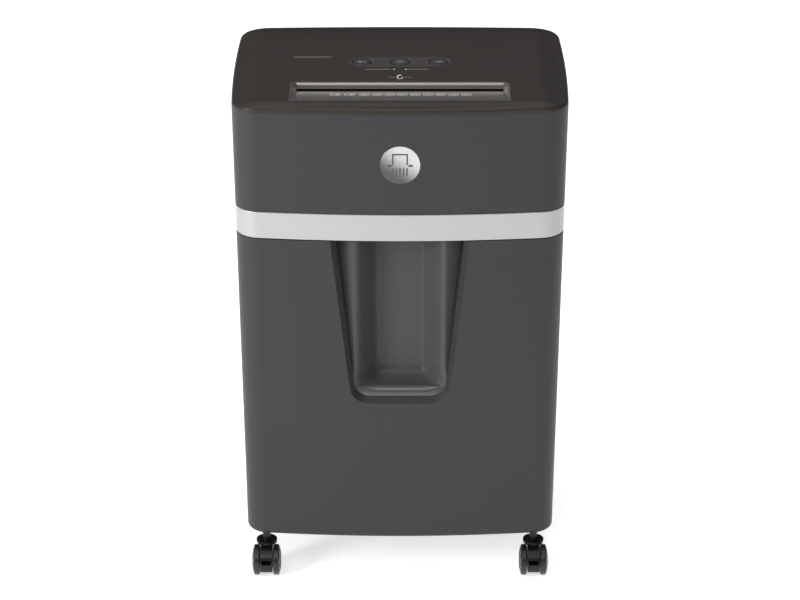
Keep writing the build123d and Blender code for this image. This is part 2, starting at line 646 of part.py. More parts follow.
def cutter_discs(axis, shift, spin):
    """Saw-edged discs on a hexagon bore, each turned a little from the last."""
    discs = []
    steps = 8
    hex_r = (HEX_FLATS + 2 * RUN) / sqrt(3)
    bore = [(axis[0] + hex_r * cos(k * pi / 3), axis[1] + hex_r * sin(k * pi / 3)) for k in range(6)]
    first = -(DISC_COUNT - 1) * DISC_PITCH / 2 - DISC_PITCH / 4 + shift
    for i in range(DISC_COUNT):
        x = first + i * DISC_PITCH
        points = []
        for k in range(DISC_TEETH * steps):
            r = DISC_ROOT + (DISC_R - DISC_ROOT) * (k % steps) / (steps - 1)
            a = spin * (2 * pi * k / (DISC_TEETH * steps) + radians(11) * i)
            points.append((axis[0] + r * cos(a), axis[1] + r * sin(a)))
        x0, x1 = x - DISC_THICK / 2, x + DISC_THICK / 2
        discs.append(prism_x(points, x0, x1) - prism_x(bore, x0 - 1, x1 + 1))
    return discs


def stripper_comb(axis, shift, side):
    """Bar with a finger in every gap between the discs of one shaft."""
    out = axis[0] + side * (DISC_R + 4)
    tip = axis[0] + side * (HEX_FLATS / sqrt(3) + 2.5)
    y0, y1 = sorted((out, out + side * 5))
    comb = block(-PLATE_X, PLATE_X, y0, y1, CUT_Z - 14, CUT_Z + 12)
    y0, y1 = sorted((tip, out + side))
    first = -(DISC_COUNT - 1) * DISC_PITCH / 2 - DISC_PITCH / 4 + shift + DISC_PITCH / 2
    for i in range(DISC_COUNT - 1):
        x = first + i * DISC_PITCH
        comb += block(x - FINGER / 2, x + FINGER / 2, y0, y1, CUT_Z - 10, CUT_Z + 8)
    return comb


def side_plate(side):
    """Steel plate that carries both cutter shafts; the driven side also carries the motor."""
    x0, x1 = sorted((side * PLATE_X, side * (PLATE_X + PLATE_THICK)))
    front = FRONT_Y - DISC_R - 14
    back = MOTOR_Y + MOTOR_R + 3 if side > 0 else REAR_Y + DISC_R + 14
    outline = [(front, PLATE_FOOT), (back, PLATE_FOOT), (back, PLATE_TOP - 12), (back - 12, PLATE_TOP),
               (front + 12, PLATE_TOP), (front, PLATE_TOP - 12)]
    plate = prism_x(outline, x0, x1)
    for axis in (FRONT_AXIS, REAR_AXIS):
        plate -= rod_x(x0 - 1, x1 + 1, axis[0], axis[1], BUSH_R)
    if side > 0:
        plate -= rod_x(x0 - 1, x1 + 1, MOTOR_Y, MOTOR_Z, 9)
    return plate


def shaft_bushes():
    """Four sintered bushes in the side plates."""
    bushes = []
    for side in (-1, 1):
        for axis in (FRONT_AXIS, REAR_AXIS):
            x0, x1 = sorted((side * PLATE_X, side * (PLATE_X + PLATE_THICK)))
            outer = rod_x(x0, x1, axis[0], axis[1], BUSH_R - RUN)
            bushes.append(outer - rod_x(x0 - 1, x1 + 1, axis[0], axis[1], JOURNAL_R + RUN))
    return bushes


def tie_rods():
    """Three rods between the side plates."""
    places = [(FRONT_Y - 20, CUT_Z - 58), (REAR_Y + 24, CUT_Z - 58), (REAR_Y + 27, CUT_Z + 20)]
    return [rod_x(-PLATE_X, PLATE_X, y, z, ROD_R) for y, z in places]


def drive_gear():
    """Large gear on the rear cutter shaft."""
    return gear(DRIVE_TEETH, LOW_MODULE, *LAYER_LOW, REAR_AXIS, DRIVE_PHASE, JOURNAL_R + 0.02)


def cutter_gear(axis, phase):
    """One of the two equal gears that turn the cutters against each other."""
    return gear(CUT_TEETH, CUT_MODULE, *LAYER_CUT, axis, phase, JOURNAL_R + 0.02)


def idler_low():
    """Compound idler: pinion on the drive gear, wheel on the high idler."""
    wheel = gear(LOW_WHEEL_TEETH, HIGH_MODULE, *LAYER_HIGH, LOW_AXIS, LOW_PHASE, PIN_R + RUN)
    pinion = gear(LOW_PINION_TEETH, LOW_MODULE, LAYER_LOW[0], LAYER_HIGH[0], LOW_AXIS, LOW_PHASE,
                  PIN_R + RUN)
    return wheel + pinion


def idler_high():
    """Compound idler: pinion on the low idler's wheel, wheel on the motor pinion."""
    wheel = gear(HIGH_WHEEL_TEETH, MOTOR_MODULE, *LAYER_MOTOR, HIGH_AXIS, HIGH_PHASE, PIN_R + RUN)
    pinion = gear(HIGH_PINION_TEETH, HIGH_MODULE, LAYER_HIGH[0], LAYER_MOTOR[0], HIGH_AXIS, HIGH_PHASE,
                  PIN_R + RUN)
    return wheel + pinion


def gear_pins():
    """Fixed pins of the two idlers and the two standoffs of the gear plate."""
    x0, x1 = PLATE_X + PLATE_THICK, GEAR_PLATE_X
    pins = [rod_x(x0, x1, axis[0], axis[1], PIN_R) for axis in (LOW_AXIS, HIGH_AXIS)]
    return pins + [rod_x(x0, x1, y, z, 3.5) for y, z in STANDOFFS]


def gear_plate():
    """Outer plate over the gear train."""
    y0, y1 = LOW_AXIS[0] - 10, MOTOR_Y + 18
    plate = block(GEAR_PLATE_X, GEAR_PLATE_X + GEAR_PLATE_THICK, y0, y1, MOTOR_Z - 38, PLATE_TOP - 1)
    return plate - rod_x(GEAR_PLATE_X - 1, GEAR_PLATE_X + 5, MOTOR_Y, MOTOR_Z, 5)


def motor_body():
    """Motor can with end bells and a spigot on the side plate."""
    can = rod_x(MOTOR_BACK, MOTOR_FRONT, MOTOR_Y, MOTOR_Z, MOTOR_R)
    can = chamfer([e for e in can.edges() if e.geom_type == GeomType.CIRCLE], 3)
    can += rod_x(MOTOR_FRONT - 1, PLATE_X, MOTOR_Y, MOTOR_Z, 16)
    return can - rod_x(MOTOR_BACK - 5, PLATE_X + 5, MOTOR_Y, MOTOR_Z, PIN_R + RUN)


def motor_rotor():
    """Motor shaft with its pinion."""
    shaft = rod_x(MOTOR_BACK - 24, GEAR_PLATE_X + 1, MOTOR_Y, MOTOR_Z, PIN_R)
    return shaft + gear(MOTOR_PINION_TEETH, MOTOR_MODULE, *LAYER_MOTOR, MOTOR_AXIS, MOTOR_PHASE, PIN_R - 1)


def motor_fan():
    """Cooling fan on the shaft's far end."""
    x1 = MOTOR_BACK - 4
    fan = rod_x(x1 - 3, x1, MOTOR_Y, MOTOR_Z, FAN_R) + rod_x(x1 - 16, x1, MOTOR_Y, MOTOR_Z, 8)
    for k in range(7):
        blade = block(x1 - 14, x1 - 1, MOTOR_Y - 1, MOTOR_Y + 1, MOTOR_Z + 6, MOTOR_Z + FAN_R - 1)
        fan += blade.rotate(Axis((0, MOTOR_Y, MOTOR_Z), (1, 0, 0)), 360 / 7 * k)
    return fan - rod_x(x1 - 20, x1 + 1, MOTOR_Y, MOTOR_Z, PIN_R + 0.02)


# ================================================================ interlock
def interlock_switch():
    """Switch body over the plunger's hole."""
    body = block(PIN_X - 14, PIN_X + 14, PIN_Y - 6, PIN_Y + 6, FLOOR_Z, FLOOR_Z + 16)
    return body - rod_z(PIN_X, PIN_Y, FLOOR_Z - 1, FLOOR_Z + 8, PIN_PLUNGER_R + RUN)


def interlock_plunger():
    """Pin that the bin's tab holds up."""
    pin = rod_z(PIN_X, PIN_Y, PLUNGER_BOTTOM, FLOOR_Z + 5, PIN_PLUNGER_R)
    return fillet([e for e in pin.edges() if e.center().Z < PLUNGER_BOTTOM + 0.1], 0.8)


def interlock_tab():
    """Bracket on the tub's back rim that reaches up to the plunger."""
    x0, x1, thick = PIN_X - 8, PIN_X + 8, 2.5
    top = PLUNGER_BOTTOM - GAP
    upright = block(x0, x1, TUB_BACK, TUB_BACK + thick, TUB_TOP - 20, top)
    return upright + block(x0, x1, PIN_Y - 6, TUB_BACK + 1, top - thick, top)


# ================================================================ cabinet
def outer_body():
    """The cabinet's closed outer form, with its round bottom edge."""
    form = drafted(BODY_BOTTOM, BODY_TOP)
    return fillet([e for e in form.edges() if e.center().Z < BODY_BOTTOM + 0.1], BOTTOM_ROUND)


def lower_skin():
    """Cabinet wall all round with a narrow flange at the bottom."""
    skin = outer_body() - drafted(BODY_BOTTOM + WALL, BODY_TOP + 1, WALL)
    skin -= drafted(BODY_BOTTOM - 1, BODY_TOP + 1, LIP)
    r = SOCKET_NECK + 3 * GAP
    for x, y in CASTERS.values():
        skin -= rod_z(x, y, BODY_BOTTOM - 1, BASE_Z, r)
        if y < BIN_SEAM_Y:
            skin -= block(x - r, x + r, y, BIN_SEAM_Y + r, BODY_BOTTOM - 1, BASE_Z)
    return skin


def cabinet_shell(skin):
    """Sides and back of the cabinet."""
    return skin & block(-WIDTH, WIDTH, BIN_SEAM_Y + BIN_SEAM / 2, DEPTH, 0, HEIGHT)


def cabinet_base():
    """Floor plate with caster towers and two runners under the bin."""
    plate = drafted(BASE_Z, BASE_Z + BASE_THICK, WALL + SEAT)
    plate &= block(-WIDTH, WIDTH, BIN_SEAM_Y + BIN_SEAM, DEPTH, 0, HEIGHT)
    nose = drafted(BASE_Z, BASE_Z + BASE_THICK, 2 * WALL + 1)
    base = plate + nose
    for x, y in CASTERS.values():
        base += rod_z(x, y, BASE_Z, SOCKET_TOP, SOCKET_R + 2.5)
    for side in (-1, 1):
        base += block(side * 115 - 5, side * 115 + 5, TUB_FRONT, TUB_BACK - 4, BASE_Z + 1, TUB_BOTTOM - GAP)
    base &= drafted(BASE_Z, SOCKET_TOP + 10, WALL + SEAT)
    for x, y in CASTERS.values():
        base -= rod_z(x, y, BASE_Z - 1, SOCKET_TOP + 1, SOCKET_R)
    return base


# ================================================================ bin
def recess_face(inset, y):
    """U-shaped outline of the grip recess, open at the top."""
    low, top = RECESS_LOW_HALF - inset, RECESS_TOP_HALF - inset
    bottom = RECESS_BOTTOM_Z + inset
    slope = (RECESS_TOP_HALF - RECESS_LOW_HALF) / (BAND_BOTTOM - RECESS_LOW_Z)
    above = BAND_BOTTOM + 20
    wide = top + slope * 20
    foot = low - slope * (RECESS_LOW_Z - bottom)
    pts = [(-foot, y, bottom), (foot, y, bottom), (wide, y, above), (-wide, y, above)]
    face = Face(Wire(Polyline(pts, close=True).edges()))
    corners = [v for v in face.vertices() if v.Z < bottom + 1]
    return face.fillet_2d(RECESS_ROUND - inset * 0.7, corners)


def bin_front_panel(skin):
    """Front of the cabinet, wrapped round both corners, with the bevelled recess opening."""
    cut = -BIN_SEAM / 2
    panel = skin & block(-WIDTH, WIDTH, -DEPTH, BIN_SEAM_Y + cut, 0, HEIGHT)
    collar = extrude(recess_face(-4, BEVEL_FRONT + 1), amount=BEVEL_DEEP - 1, dir=(0, 1, 0))
    collar &= drafted(BODY_BOTTOM + 20, BODY_TOP, WALL / 2)
    mouth = extrude(recess_face(0, BEVEL_FRONT), amount=20, dir=(0, -1, 0))
    mouth += loft([recess_face(0, BEVEL_FRONT), recess_face(BEVEL, BEVEL_BACK)], ruled=True)
    panel = panel + collar - mouth
    panel -= extrude(recess_face(BEVEL, BEVEL_BACK - 0.5), amount=5, dir=(0, 1, 0))
    for x, z in BIN_BOSSES:
        boss = rod_y(x, -DEPTH / 2, TUB_FRONT, z, 6) & drafted(BODY_BOTTOM + 5, BODY_TOP, WALL / 2)
        panel += boss
        panel -= rod_y(x, TUB_FRONT - 18, TUB_FRONT + 1, z, SCREW_R)
    return panel


def insert_section(thick):
    """Half of the insert's folded section: trough, wall, ridge and wing."""
    back = INSERT_BACK + thick
    return [(0, back), (TROUGH_HALF, back), (RIDGE_IN, INSERT_FRONT + thick),
            (RIDGE_OUT, INSERT_FRONT + thick), (RECESS_TOP_HALF + 2, INSERT_FRONT + 12 + thick)]


def grip_insert():
    """Glossy folded insert: a finger trough between two ridges, with wings falling away."""
    right = insert_section(0)
    rear = insert_section(INSERT_THICK)
    outline = [(-x, y) for x, y in reversed(right[1:])] + right
    outline += list(reversed(rear)) + [(-x, y) for x, y in rear[1:]]
    top, bottom = BODY_TOP - 1.5, RECESS_BOTTOM_Z - 4
    shell = prism_z(outline, bottom + 4, top)
    closed = [(-x, y) for x, y in reversed(right[1:])] + right
    closed += [(RIDGE_OUT, INSERT_BACK + INSERT_THICK), (-RIDGE_OUT, INSERT_BACK + INSERT_THICK)]
    sill = prism_z(closed, bottom, RECESS_BOTTOM_Z + BEVEL + 2)
    insert = shell + sill
    keep = extrude(recess_face(-8, INSERT_FRONT - 1), amount=TROUGH_DEEP + 10, dir=(0, 1, 0))
    return insert & keep


def bin_tub():
    """Open waste container."""
    def tray(half, y0, y1, z0, z1, r):
        face = Pos(0, (y0 + y1) / 2, z0) * RectangleRounded(2 * half, y1 - y0, r)
        return extrude(face, amount=z1 - z0)
    w = TUB_WALL
    tub = tray(TUB_HALF, TUB_FRONT, TUB_BACK, TUB_BOTTOM, TUB_TOP, TUB_CORNER)
    tub -= tray(TUB_HALF - w, TUB_FRONT + w, TUB_BACK - w, TUB_BOTTOM + w, TUB_TOP + 1, TUB_CORNER - w)
    for x, z in BIN_BOSSES:
        tub -= rod_y(x, TUB_FRONT - 1, TUB_FRONT + w + 1, z, SCREW_R + 0.4)
    return tub


def bin_screws():
    """Screws from inside the tub into the front panel's bosses."""
    inner = TUB_FRONT + TUB_WALL
    screws = []
    for x, z in BIN_BOSSES:
        shank = rod_y(x, TUB_FRONT - 16, inner + 1, z, SCREW_R - 0.1)
        screws.append(shank + rod_y(x, inner, inner + SCREW_HEAD, z, SCREW_HEAD_R))
    return screws


# ================================================================ casters
def caster_socket(x, y):
    """Sleeve for one caster stem, with a small boss below the cabinet."""
    sleeve = rod_z(x, y, BASE_Z, SOCKET_TOP, SOCKET_R - RUN)
    sleeve += rod_z(x, y, BODY_BOTTOM - 2, BASE_Z, SOCKET_NECK)
    return sleeve - rod_z(x, y, BODY_BOTTOM - 3, SOCKET_TOP - 3, STEM_R + RUN)


def caster_fork(x, y):
    """Swivelling body between the wheels: web, shoulder plate and stem."""
    wy = y - CASTER_TRAIL
    web = rod_x(x - FORK_HALF, x + FORK_HALF, wy, WHEEL_R, WHEEL_R - 0.6)
    web -= block(x - 20, x + 20, wy - 40, wy + 40, -5, WHEEL_R / 2)
    web -= block(x - FORK_HALF + 1.4, x + FORK_HALF - 1.4, wy - 20, wy - 8, WHEEL_R + 1.5, WHEEL_R + 6.5)
    plate_z = SHOULDER_Z - SHOULDER_THICK
    neck = block(x - FORK_HALF, x + FORK_HALF, y - 10, y + 8, WHEEL_R + 4, plate_z + 1)
    fork = web + neck + rod_z(x, y, plate_z, SHOULDER_Z, SHOULDER_R)
    fork += rod_z(x, y, SHOULDER_Z - 1, SOCKET_TOP - 5, STEM_R)
    return fork - rod_x(x - 20, x + 20, wy, WHEEL_R, AXLE_R + 0.02)


def caster_wheels(x, y):
    """Two wheels with domed hub caps, blind on the outside."""
    inner, outer = WHEEL_IN, WHEEL_IN + WHEEL_TREAD
    bore, edge, cap_r = AXLE_R + RUN, WHEEL_ROUND, WHEEL_R - 2.5
    dome_r = bow_radius(cap_r, WHEEL_DOME)
    middle = outer + WHEEL_DOME - dome_r + sqrt(dome_r ** 2 - (cap_r / 2) ** 2)
    wheels = []
    for side in (-1, 1):
        rim = [(outer + WHEEL_DOME, 0), (outer + GAP, 0), (outer + GAP, bore), (inner, bore),
               (inner, WHEEL_R - edge), (inner + edge, WHEEL_R), (outer - edge, WHEEL_R),
               (outer, WHEEL_R - edge), (outer, cap_r)]
        rim = [(side * px, pr) for px, pr in rim]
        dome = ThreePointArc(rim[-1], (side * middle, cap_r / 2), rim[0])
        wheel = revolve(make_face([Polyline(rim), dome]), axis=Axis.X)
        wheels.append(Pos(x, y - CASTER_TRAIL, WHEEL_R) * wheel)
    return wheels


def caster_axle(x, y):
    """Steel axle through web and wheels."""
    end = WHEEL_IN + WHEEL_TREAD - 0.2
    return rod_x(x - end, x + end, y - CASTER_TRAIL, WHEEL_R, AXLE_R)


# ================================================================ build everything
def main():
    """Build every piece and write one file for each node."""
    os.makedirs("parts", exist_ok=True)
    skin = lower_skin()
    save("top_cover", top_cover())
    save("entry_guide", entry_guide())
    save("sensor_lever", sensor_lever())
    save("button_panel", button_panel())
    for name, x in zip(("reverse", "auto", "forward"), BUTTON_X):
        save(f"button_{name}", button(x))
    save("control_board", control_board())
    save("indicator_lenses", *indicator_lenses())
    save("head_shell", head_shell())
    save("emblem_badge", emblem_badge())
    save("silver_band", silver_band())
    save("head_base", head_base())
    save("head_screws", *head_screws())
    save("power_switch_frame", power_switch_frame())
    save("power_rocker", power_rocker())
    save("inlet_gland", inlet_gland())

    save("side_plate_left", side_plate(-1))
    save("side_plate_right", side_plate(1))
    save("tie_rods", *tie_rods())
    save("shaft_bushes", *shaft_bushes())
    save("cutter_shaft_front", hexagon_shaft(FRONT_AXIS, LAYER_CUT[1] + 1))
    save("cutter_shaft_rear", hexagon_shaft(REAR_AXIS, LAYER_LOW[1] + 1))
    save("cutter_discs_front", *cutter_discs(FRONT_AXIS, 0, 1))
    save("cutter_discs_rear", *cutter_discs(REAR_AXIS, DISC_PITCH / 2, -1))
    save("stripper_comb_front", stripper_comb(FRONT_AXIS, 0, -1))
    save("stripper_comb_rear", stripper_comb(REAR_AXIS, DISC_PITCH / 2, 1))
    rear_phase = mesh_phase(FRONT_AXIS, CUT_TEETH, 0, REAR_AXIS, CUT_TEETH)
    save("cutter_gear_front", cutter_gear(FRONT_AXIS, 0))
    save("cutter_gear_rear", cutter_gear(REAR_AXIS, rear_phase))
    save("drive_gear", drive_gear())
    save("idler_gear_low", idler_low())
    save("idler_gear_high", idler_high())
    save("gear_pins", *gear_pins())
    save("gear_plate", gear_plate())
    save("motor_body", motor_body())
    save("motor_rotor", motor_rotor())
    save("motor_fan", motor_fan())
    save("interlock_switch", interlock_switch())
    save("interlock_plunger", interlock_plunger())

    save("cabinet_shell", cabinet_shell(skin))
    save("cabinet_base", cabinet_base())
    save("bin_front_panel", bin_front_panel(skin))
    save("grip_insert", grip_insert())
    save("bin_tub", bin_tub())
    save("bin_screws", *bin_screws())
    save("interlock_tab", interlock_tab())
    save("caster_sockets", *[caster_socket(x, y) for x, y in CASTERS.values()])
    for name, (x, y) in CASTERS.items():
        save(f"caster_fork_{name}", caster_fork(x, y))
        save(f"caster_wheels_{name}", *caster_wheels(x, y))
        save(f"caster_axle_{name}", caster_axle(x, y))


main()
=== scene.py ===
"""Looks of a tall paper shredder on casters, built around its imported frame.

The frame holds every working piece. This script gives each of them its finish, adds the small
visible parts (printed marks, symbols, vents, ribs, screws, hub trims, the folded grip liner),
and sets up a plain studio. Sizes are in millimetres until a mesh is made, then metres.
"""
import logging
import math
from dataclasses import dataclass, field
from enum import Enum
from typing import Callable, Iterable, Sequence

import bmesh
import bpy
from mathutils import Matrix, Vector


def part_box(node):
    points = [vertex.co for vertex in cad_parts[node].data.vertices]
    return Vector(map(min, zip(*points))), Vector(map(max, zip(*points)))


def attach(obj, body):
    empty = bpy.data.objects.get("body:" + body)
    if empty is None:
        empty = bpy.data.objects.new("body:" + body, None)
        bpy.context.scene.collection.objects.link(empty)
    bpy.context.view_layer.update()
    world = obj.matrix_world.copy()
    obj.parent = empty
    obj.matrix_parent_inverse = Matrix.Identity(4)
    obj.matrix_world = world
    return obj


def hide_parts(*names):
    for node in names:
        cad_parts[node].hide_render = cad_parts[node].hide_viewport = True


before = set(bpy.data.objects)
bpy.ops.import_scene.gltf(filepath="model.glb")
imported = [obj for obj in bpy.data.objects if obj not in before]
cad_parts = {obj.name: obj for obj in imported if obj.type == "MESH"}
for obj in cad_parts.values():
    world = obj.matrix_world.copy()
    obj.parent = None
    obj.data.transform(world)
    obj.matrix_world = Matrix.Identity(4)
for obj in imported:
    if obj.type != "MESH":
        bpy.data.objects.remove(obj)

MM = 0.001
# The Mix node has one set of sockets for each type of value, so those of its colours go by number.
MIX_FACTOR, MIX_LOW, MIX_HIGH, MIX_COLOUR = 0, 6, 7, 2
SCREW_HEAD_RADIUS = 3.6
SCREW_HEAD_HEIGHT = 2.4
SCREW_SHANK_RADIUS = 1.7
Colour = tuple[float, float, float]
Flat = tuple[float, float]
Lay = Callable[[float, float, float], tuple[float, float, float]]

log = logging.getLogger("shredder")


# ---------------------------------------------------------------- nodes as Python expressions
def operator(operation: str, swapped: bool = False) -> Callable[..., "Wire"]:
    """Makes a method of Wire that adds one Math node.

    Args:
        operation: the Math node's operation.
        swapped: True where the wire is the second of the two values.

    Returns:
        The method.
    """
    def method(wire: "Wire", other: object = 0.0) -> "Wire":
        """Adds the node on the wire and another value."""
        first, second = (other, wire) if swapped else (wire, other)
        return wire.net.wire("ShaderNodeMath", {"operation": operation}, {0: first, 1: second})

    return method


class Wire:
    """A node socket that works in Python expressions: each operator adds one Math node."""

    __add__ = __radd__ = operator("ADD")
    __mul__ = __rmul__ = operator("MULTIPLY")
    __sub__ = operator("SUBTRACT")
    __rsub__ = operator("SUBTRACT", swapped=True)
    __truediv__ = operator("DIVIDE")
    __rtruediv__ = operator("DIVIDE", swapped=True)
    __pow__ = operator("POWER")
    __abs__ = operator("ABSOLUTE")
    root = operator("SQRT")
    least = operator("MINIMUM")
    most = operator("MAXIMUM")

    def __init__(self, net: "Net", socket: bpy.types.NodeSocket) -> None:
        """Keeps the socket and the net that it belongs to."""
        self.net = net
        self.socket = socket

    def rise(self, start: object, end: object) -> "Wire":
        """Goes smoothly from 0 at start to 1 at end."""
        values = {"Value": self, "From Min": start, "From Max": end}
        return self.net.wire("ShaderNodeMapRange", {"interpolation_type": "SMOOTHSTEP"}, values)


class Net:
    """Adds nodes to one tree, by type, settings and the values or links of their sockets."""

    def __init__(self, tree: bpy.types.NodeTree) -> None:
        """Keeps the tree."""
        self.tree = tree

    def add(self, kind: str, settings: dict | None = None, values: dict | None = None) -> bpy.types.Node:
        """Adds one node.

        Args:
            kind: the node's type.
            settings: attributes that are set first; "stops" fills a colour ramp.
            values: socket name or index to a number, a colour or a wire.

        Returns:
            The new node.
        """
        node = self.tree.nodes.new(kind)
        for name, value in (settings or {}).items():
            if name == "stops":
                self._stops(node.color_ramp, value)
            else:
                setattr(node, name, value)
        for key, value in (values or {}).items():
            for one in value if isinstance(value, list) else [value]:
                if isinstance(one, Wire):
                    self.tree.links.new(one.socket, node.inputs[key])
                else:
                    node.inputs[key].default_value = one
        return node

    def wire(self, kind: str, settings: dict | None = None, values: dict | None = None,
             output: int | str = 0) -> Wire:
        """Adds one node and hands back one of its outputs."""
        return Wire(self, self.add(kind, settings, values).outputs[output])

    def split(self, vector: Wire) -> list[Wire]:
        """The three parts of a vector."""
        node = self.add("ShaderNodeSeparateXYZ", None, {0: vector})
        return [Wire(self, socket) for socket in node.outputs]

    def join(self, x: object, y: object, z: object) -> Wire:
        """A vector of three values."""
        return self.wire("ShaderNodeCombineXYZ", None, {0: x, 1: y, 2: z})

    @staticmethod
    def _stops(ramp: bpy.types.ColorRamp, stops: Sequence[tuple[float, Colour]]) -> None:
        """Fills a ramp with (place, colour) stops, the first at its start."""
        while len(ramp.elements) < len(stops):
            ramp.elements.new(1.0)
        for element, (place, colour) in zip(ramp.elements, stops):
            element.position = place
            element.color = (*colour, 1.0)


class Surface(Net):
    """Net of one material, with the steps that all finishes share."""

    def __init__(self, name: str) -> None:
        """Makes the material and clears its tree."""
        self.material = bpy.data.materials.new(name)
        self.material.use_nodes = True
        super().__init__(self.material.node_tree)
        self.tree.nodes.clear()
        self.place = self.wire("ShaderNodeTexCoord", None, None, "Object")

    def noise(self, size: float, detail: float = 2.0, stretch: Colour = (1.0, 1.0, 1.0)) -> Wire:
        """Cloudy noise.

        Args:
            size: width of one cloud, in millimetres.
            detail: how many finer layers lie in it.
            stretch: how much shorter the clouds are along each axis.

        Returns:
            A value about 0.5.
        """
        vector = self.wire("ShaderNodeMapping", None, {"Vector": self.place, "Scale": stretch})
        values = {"Vector": vector, "Scale": 1.0 / (size * MM), "Detail": detail}
        return self.wire("ShaderNodeTexNoise", None, values)

    def cells(self, size: float) -> Wire:
        """Distance to the nearest of scattered points, a pebbled grain."""
        values = {"Vector": self.place, "Scale": 1.0 / (size * MM)}
        return self.wire("ShaderNodeTexVoronoi", None, values)

    def blend(self, factor: object, low: object, high: object) -> Wire:
        """Colour between low at 0 and high at 1."""
        ends = [end if isinstance(end, Wire) else (*end, 1.0) for end in (low, high)]
        values = {MIX_FACTOR: factor, MIX_LOW: ends[0], MIX_HIGH: ends[1]}
        return self.wire("ShaderNodeMix", {"data_type": "RGBA"}, values, MIX_COLOUR)

    def bump(self, height: Wire, depth: float, strength: float, edge: float) -> Wire:
        """Small relief on top of softly rounded edges.

        Args:
            height: the relief, about 0 to 1.
            depth: its full depth, in millimetres.
            strength: how much of it shows.
            edge: radius of the rounding along sharp edges, in millimetres.

        Returns:
            The normal.
        """
        values = {"Height": height, "Distance": depth * MM, "Strength": strength}
        if edge:
            values["Normal"] = self.wire("ShaderNodeBevel", {"samples": 4}, {"Radius": edge * MM})
        return self.wire("ShaderNodeBump", None, values)

    def close(self, values: dict) -> bpy.types.Material:
        """Ends the tree in one principled shader."""
        shader = self.wire("ShaderNodeBsdfPrincipled", None, values)
        self.add("ShaderNodeOutputMaterial", None, {"Surface": shader})
        return self.material


# ---------------------------------------------------------------- finishes
def shade(colour: Colour, by: float) -> Colour:
    """A colour made lighter or darker by a factor."""
    return tuple(min(1.0, part * by) for part in colour)


@dataclass(frozen=True)
class Finish:
    """One finish: its name, colour and roughness. Each kind lays its own nodes."""

    name: str
    colour: Colour
    roughness: float
    edge: float = 0.4

    def material(self) -> bpy.types.Material:
        """The finish's material, made the first time that it is asked for."""
        return bpy.data.materials.get(self.name) or self.nodes(Surface(self.name))

    def nodes(self, net: Surface) -> bpy.types.Material:
        """Lays the nodes."""
        raise NotImplementedError


@dataclass(frozen=True)
class Moulded(Finish):
    """Injection-moulded plastic with a spark-eroded grain, faint flow clouds and handling sheen."""

    grain: float = 0.8
    depth: float = 0.03
    clouds: float = 0.05
    specular: float = 0.5
    coat: float = 0.0
    coat_roughness: float = 0.2

    def relief(self, net: Surface, grain: Wire) -> Wire:
        """The normal of the grained face."""
        return net.bump(grain, self.depth, 0.3, self.edge)

    def nodes(self, net: Surface) -> bpy.types.Material:
        """Pebbled grain in the relief, slow clouds in colour and roughness."""
        pebbles = net.cells(self.grain)
        fine = net.noise(self.grain * 0.6, 3.0)
        flow = net.noise(60.0, 3.0, (1.0, 1.0, 0.35))
        handling = net.noise(18.0, 4.0)
        tint = net.blend(flow, shade(self.colour, 1.0 - self.clouds), shade(self.colour, 1.0 + self.clouds))
        speck = net.blend((fine - 0.62).most(0.0) * 1.5, tint, shade(self.colour, 1.5))
        rough = self.roughness + (handling - 0.5) * 0.08 + (fine - 0.5) * 0.10
        return net.close({
            "Base Color": speck, "Roughness": rough, "Specular IOR Level": self.specular,
            "Coat Weight": self.coat, "Coat Roughness": self.coat_roughness,
            "Normal": self.relief(net, pebbles * 0.6 + fine * 0.4)})


@dataclass(frozen=True)
class Dished(Moulded):
    """Moulded plastic with a flat middle that rolls down towards its edges."""

    half: tuple[float, float] = (0.181, 0.132)
    slope: tuple[float, float] = (0.030, 0.026)
    fall: float = 3.5
    margin: tuple[float, float] = (0.004, 0.002)

    def relief(self, net: Surface, grain: Wire) -> Wire:
        """The roll's height under the grain."""
        x, y, _ = net.split(net.place)
        sides = abs(x).rise(self.half[0] - self.slope[0], self.half[0] - self.margin[0])
        ends = abs(y).rise(self.half[1] - self.slope[1], self.half[1] - self.margin[1])
        middle = (1 - sides) * (1 - ends)
        soft = net.bump(middle, self.fall, 1.0, self.edge)
        values = {"Height": grain, "Distance": self.depth * MM, "Strength": 0.3, "Normal": soft}
        return net.wire("ShaderNodeBump", None, values)


@dataclass(frozen=True)
class Polished(Finish):
    """Glossy moulding: a gentle waviness, fine wiping marks and a thin clear skin."""

    wave: float = 14.0
    specular: float = 0.5
    coat: float = 0.3
    wiping: float = 0.10

    def shine(self, net: Surface) -> object:
        """How much clear skin there is."""
        return self.coat

    def nodes(self, net: Surface) -> bpy.types.Material:
        """Slow waves in the relief, wiping marks in the roughness."""
        wave = net.noise(self.wave, 1.0)
        wipes = net.noise(3.0, 4.0, (0.15, 1.0, 1.0))
        tint = net.blend(wave, shade(self.colour, 0.94), shade(self.colour, 1.06))
        rough = self.roughness + (wipes - 0.5) * self.wiping
        return net.close({
            "Base Color": tint, "Roughness": rough, "Specular IOR Level": self.specular,
            "Coat Weight": self.shine(net), "Coat Roughness": 0.16,
            "Normal": net.bump(wave, 0.15, 0.25, self.edge)})


@dataclass(frozen=True)
class WornLip(Polished):
    """Satin moulding that hands have polished along its lower lip."""

    lip: float = 0.242
    half: float = 0.036
    fade: tuple[float, float] = (0.003, 0.008)

    def shine(self, net: Surface) -> Wire:
        """Full clear skin on the lip, a thin one elsewhere."""
        x, _, z = net.split(net.place)
        under = 1 - z.rise(self.lip - self.fade[0], self.lip + self.fade[0])
        middle = 1 - abs(x).rise(self.half, self.half + self.fade[1])
        return under * middle * (1.0 - self.coat) + self.coat


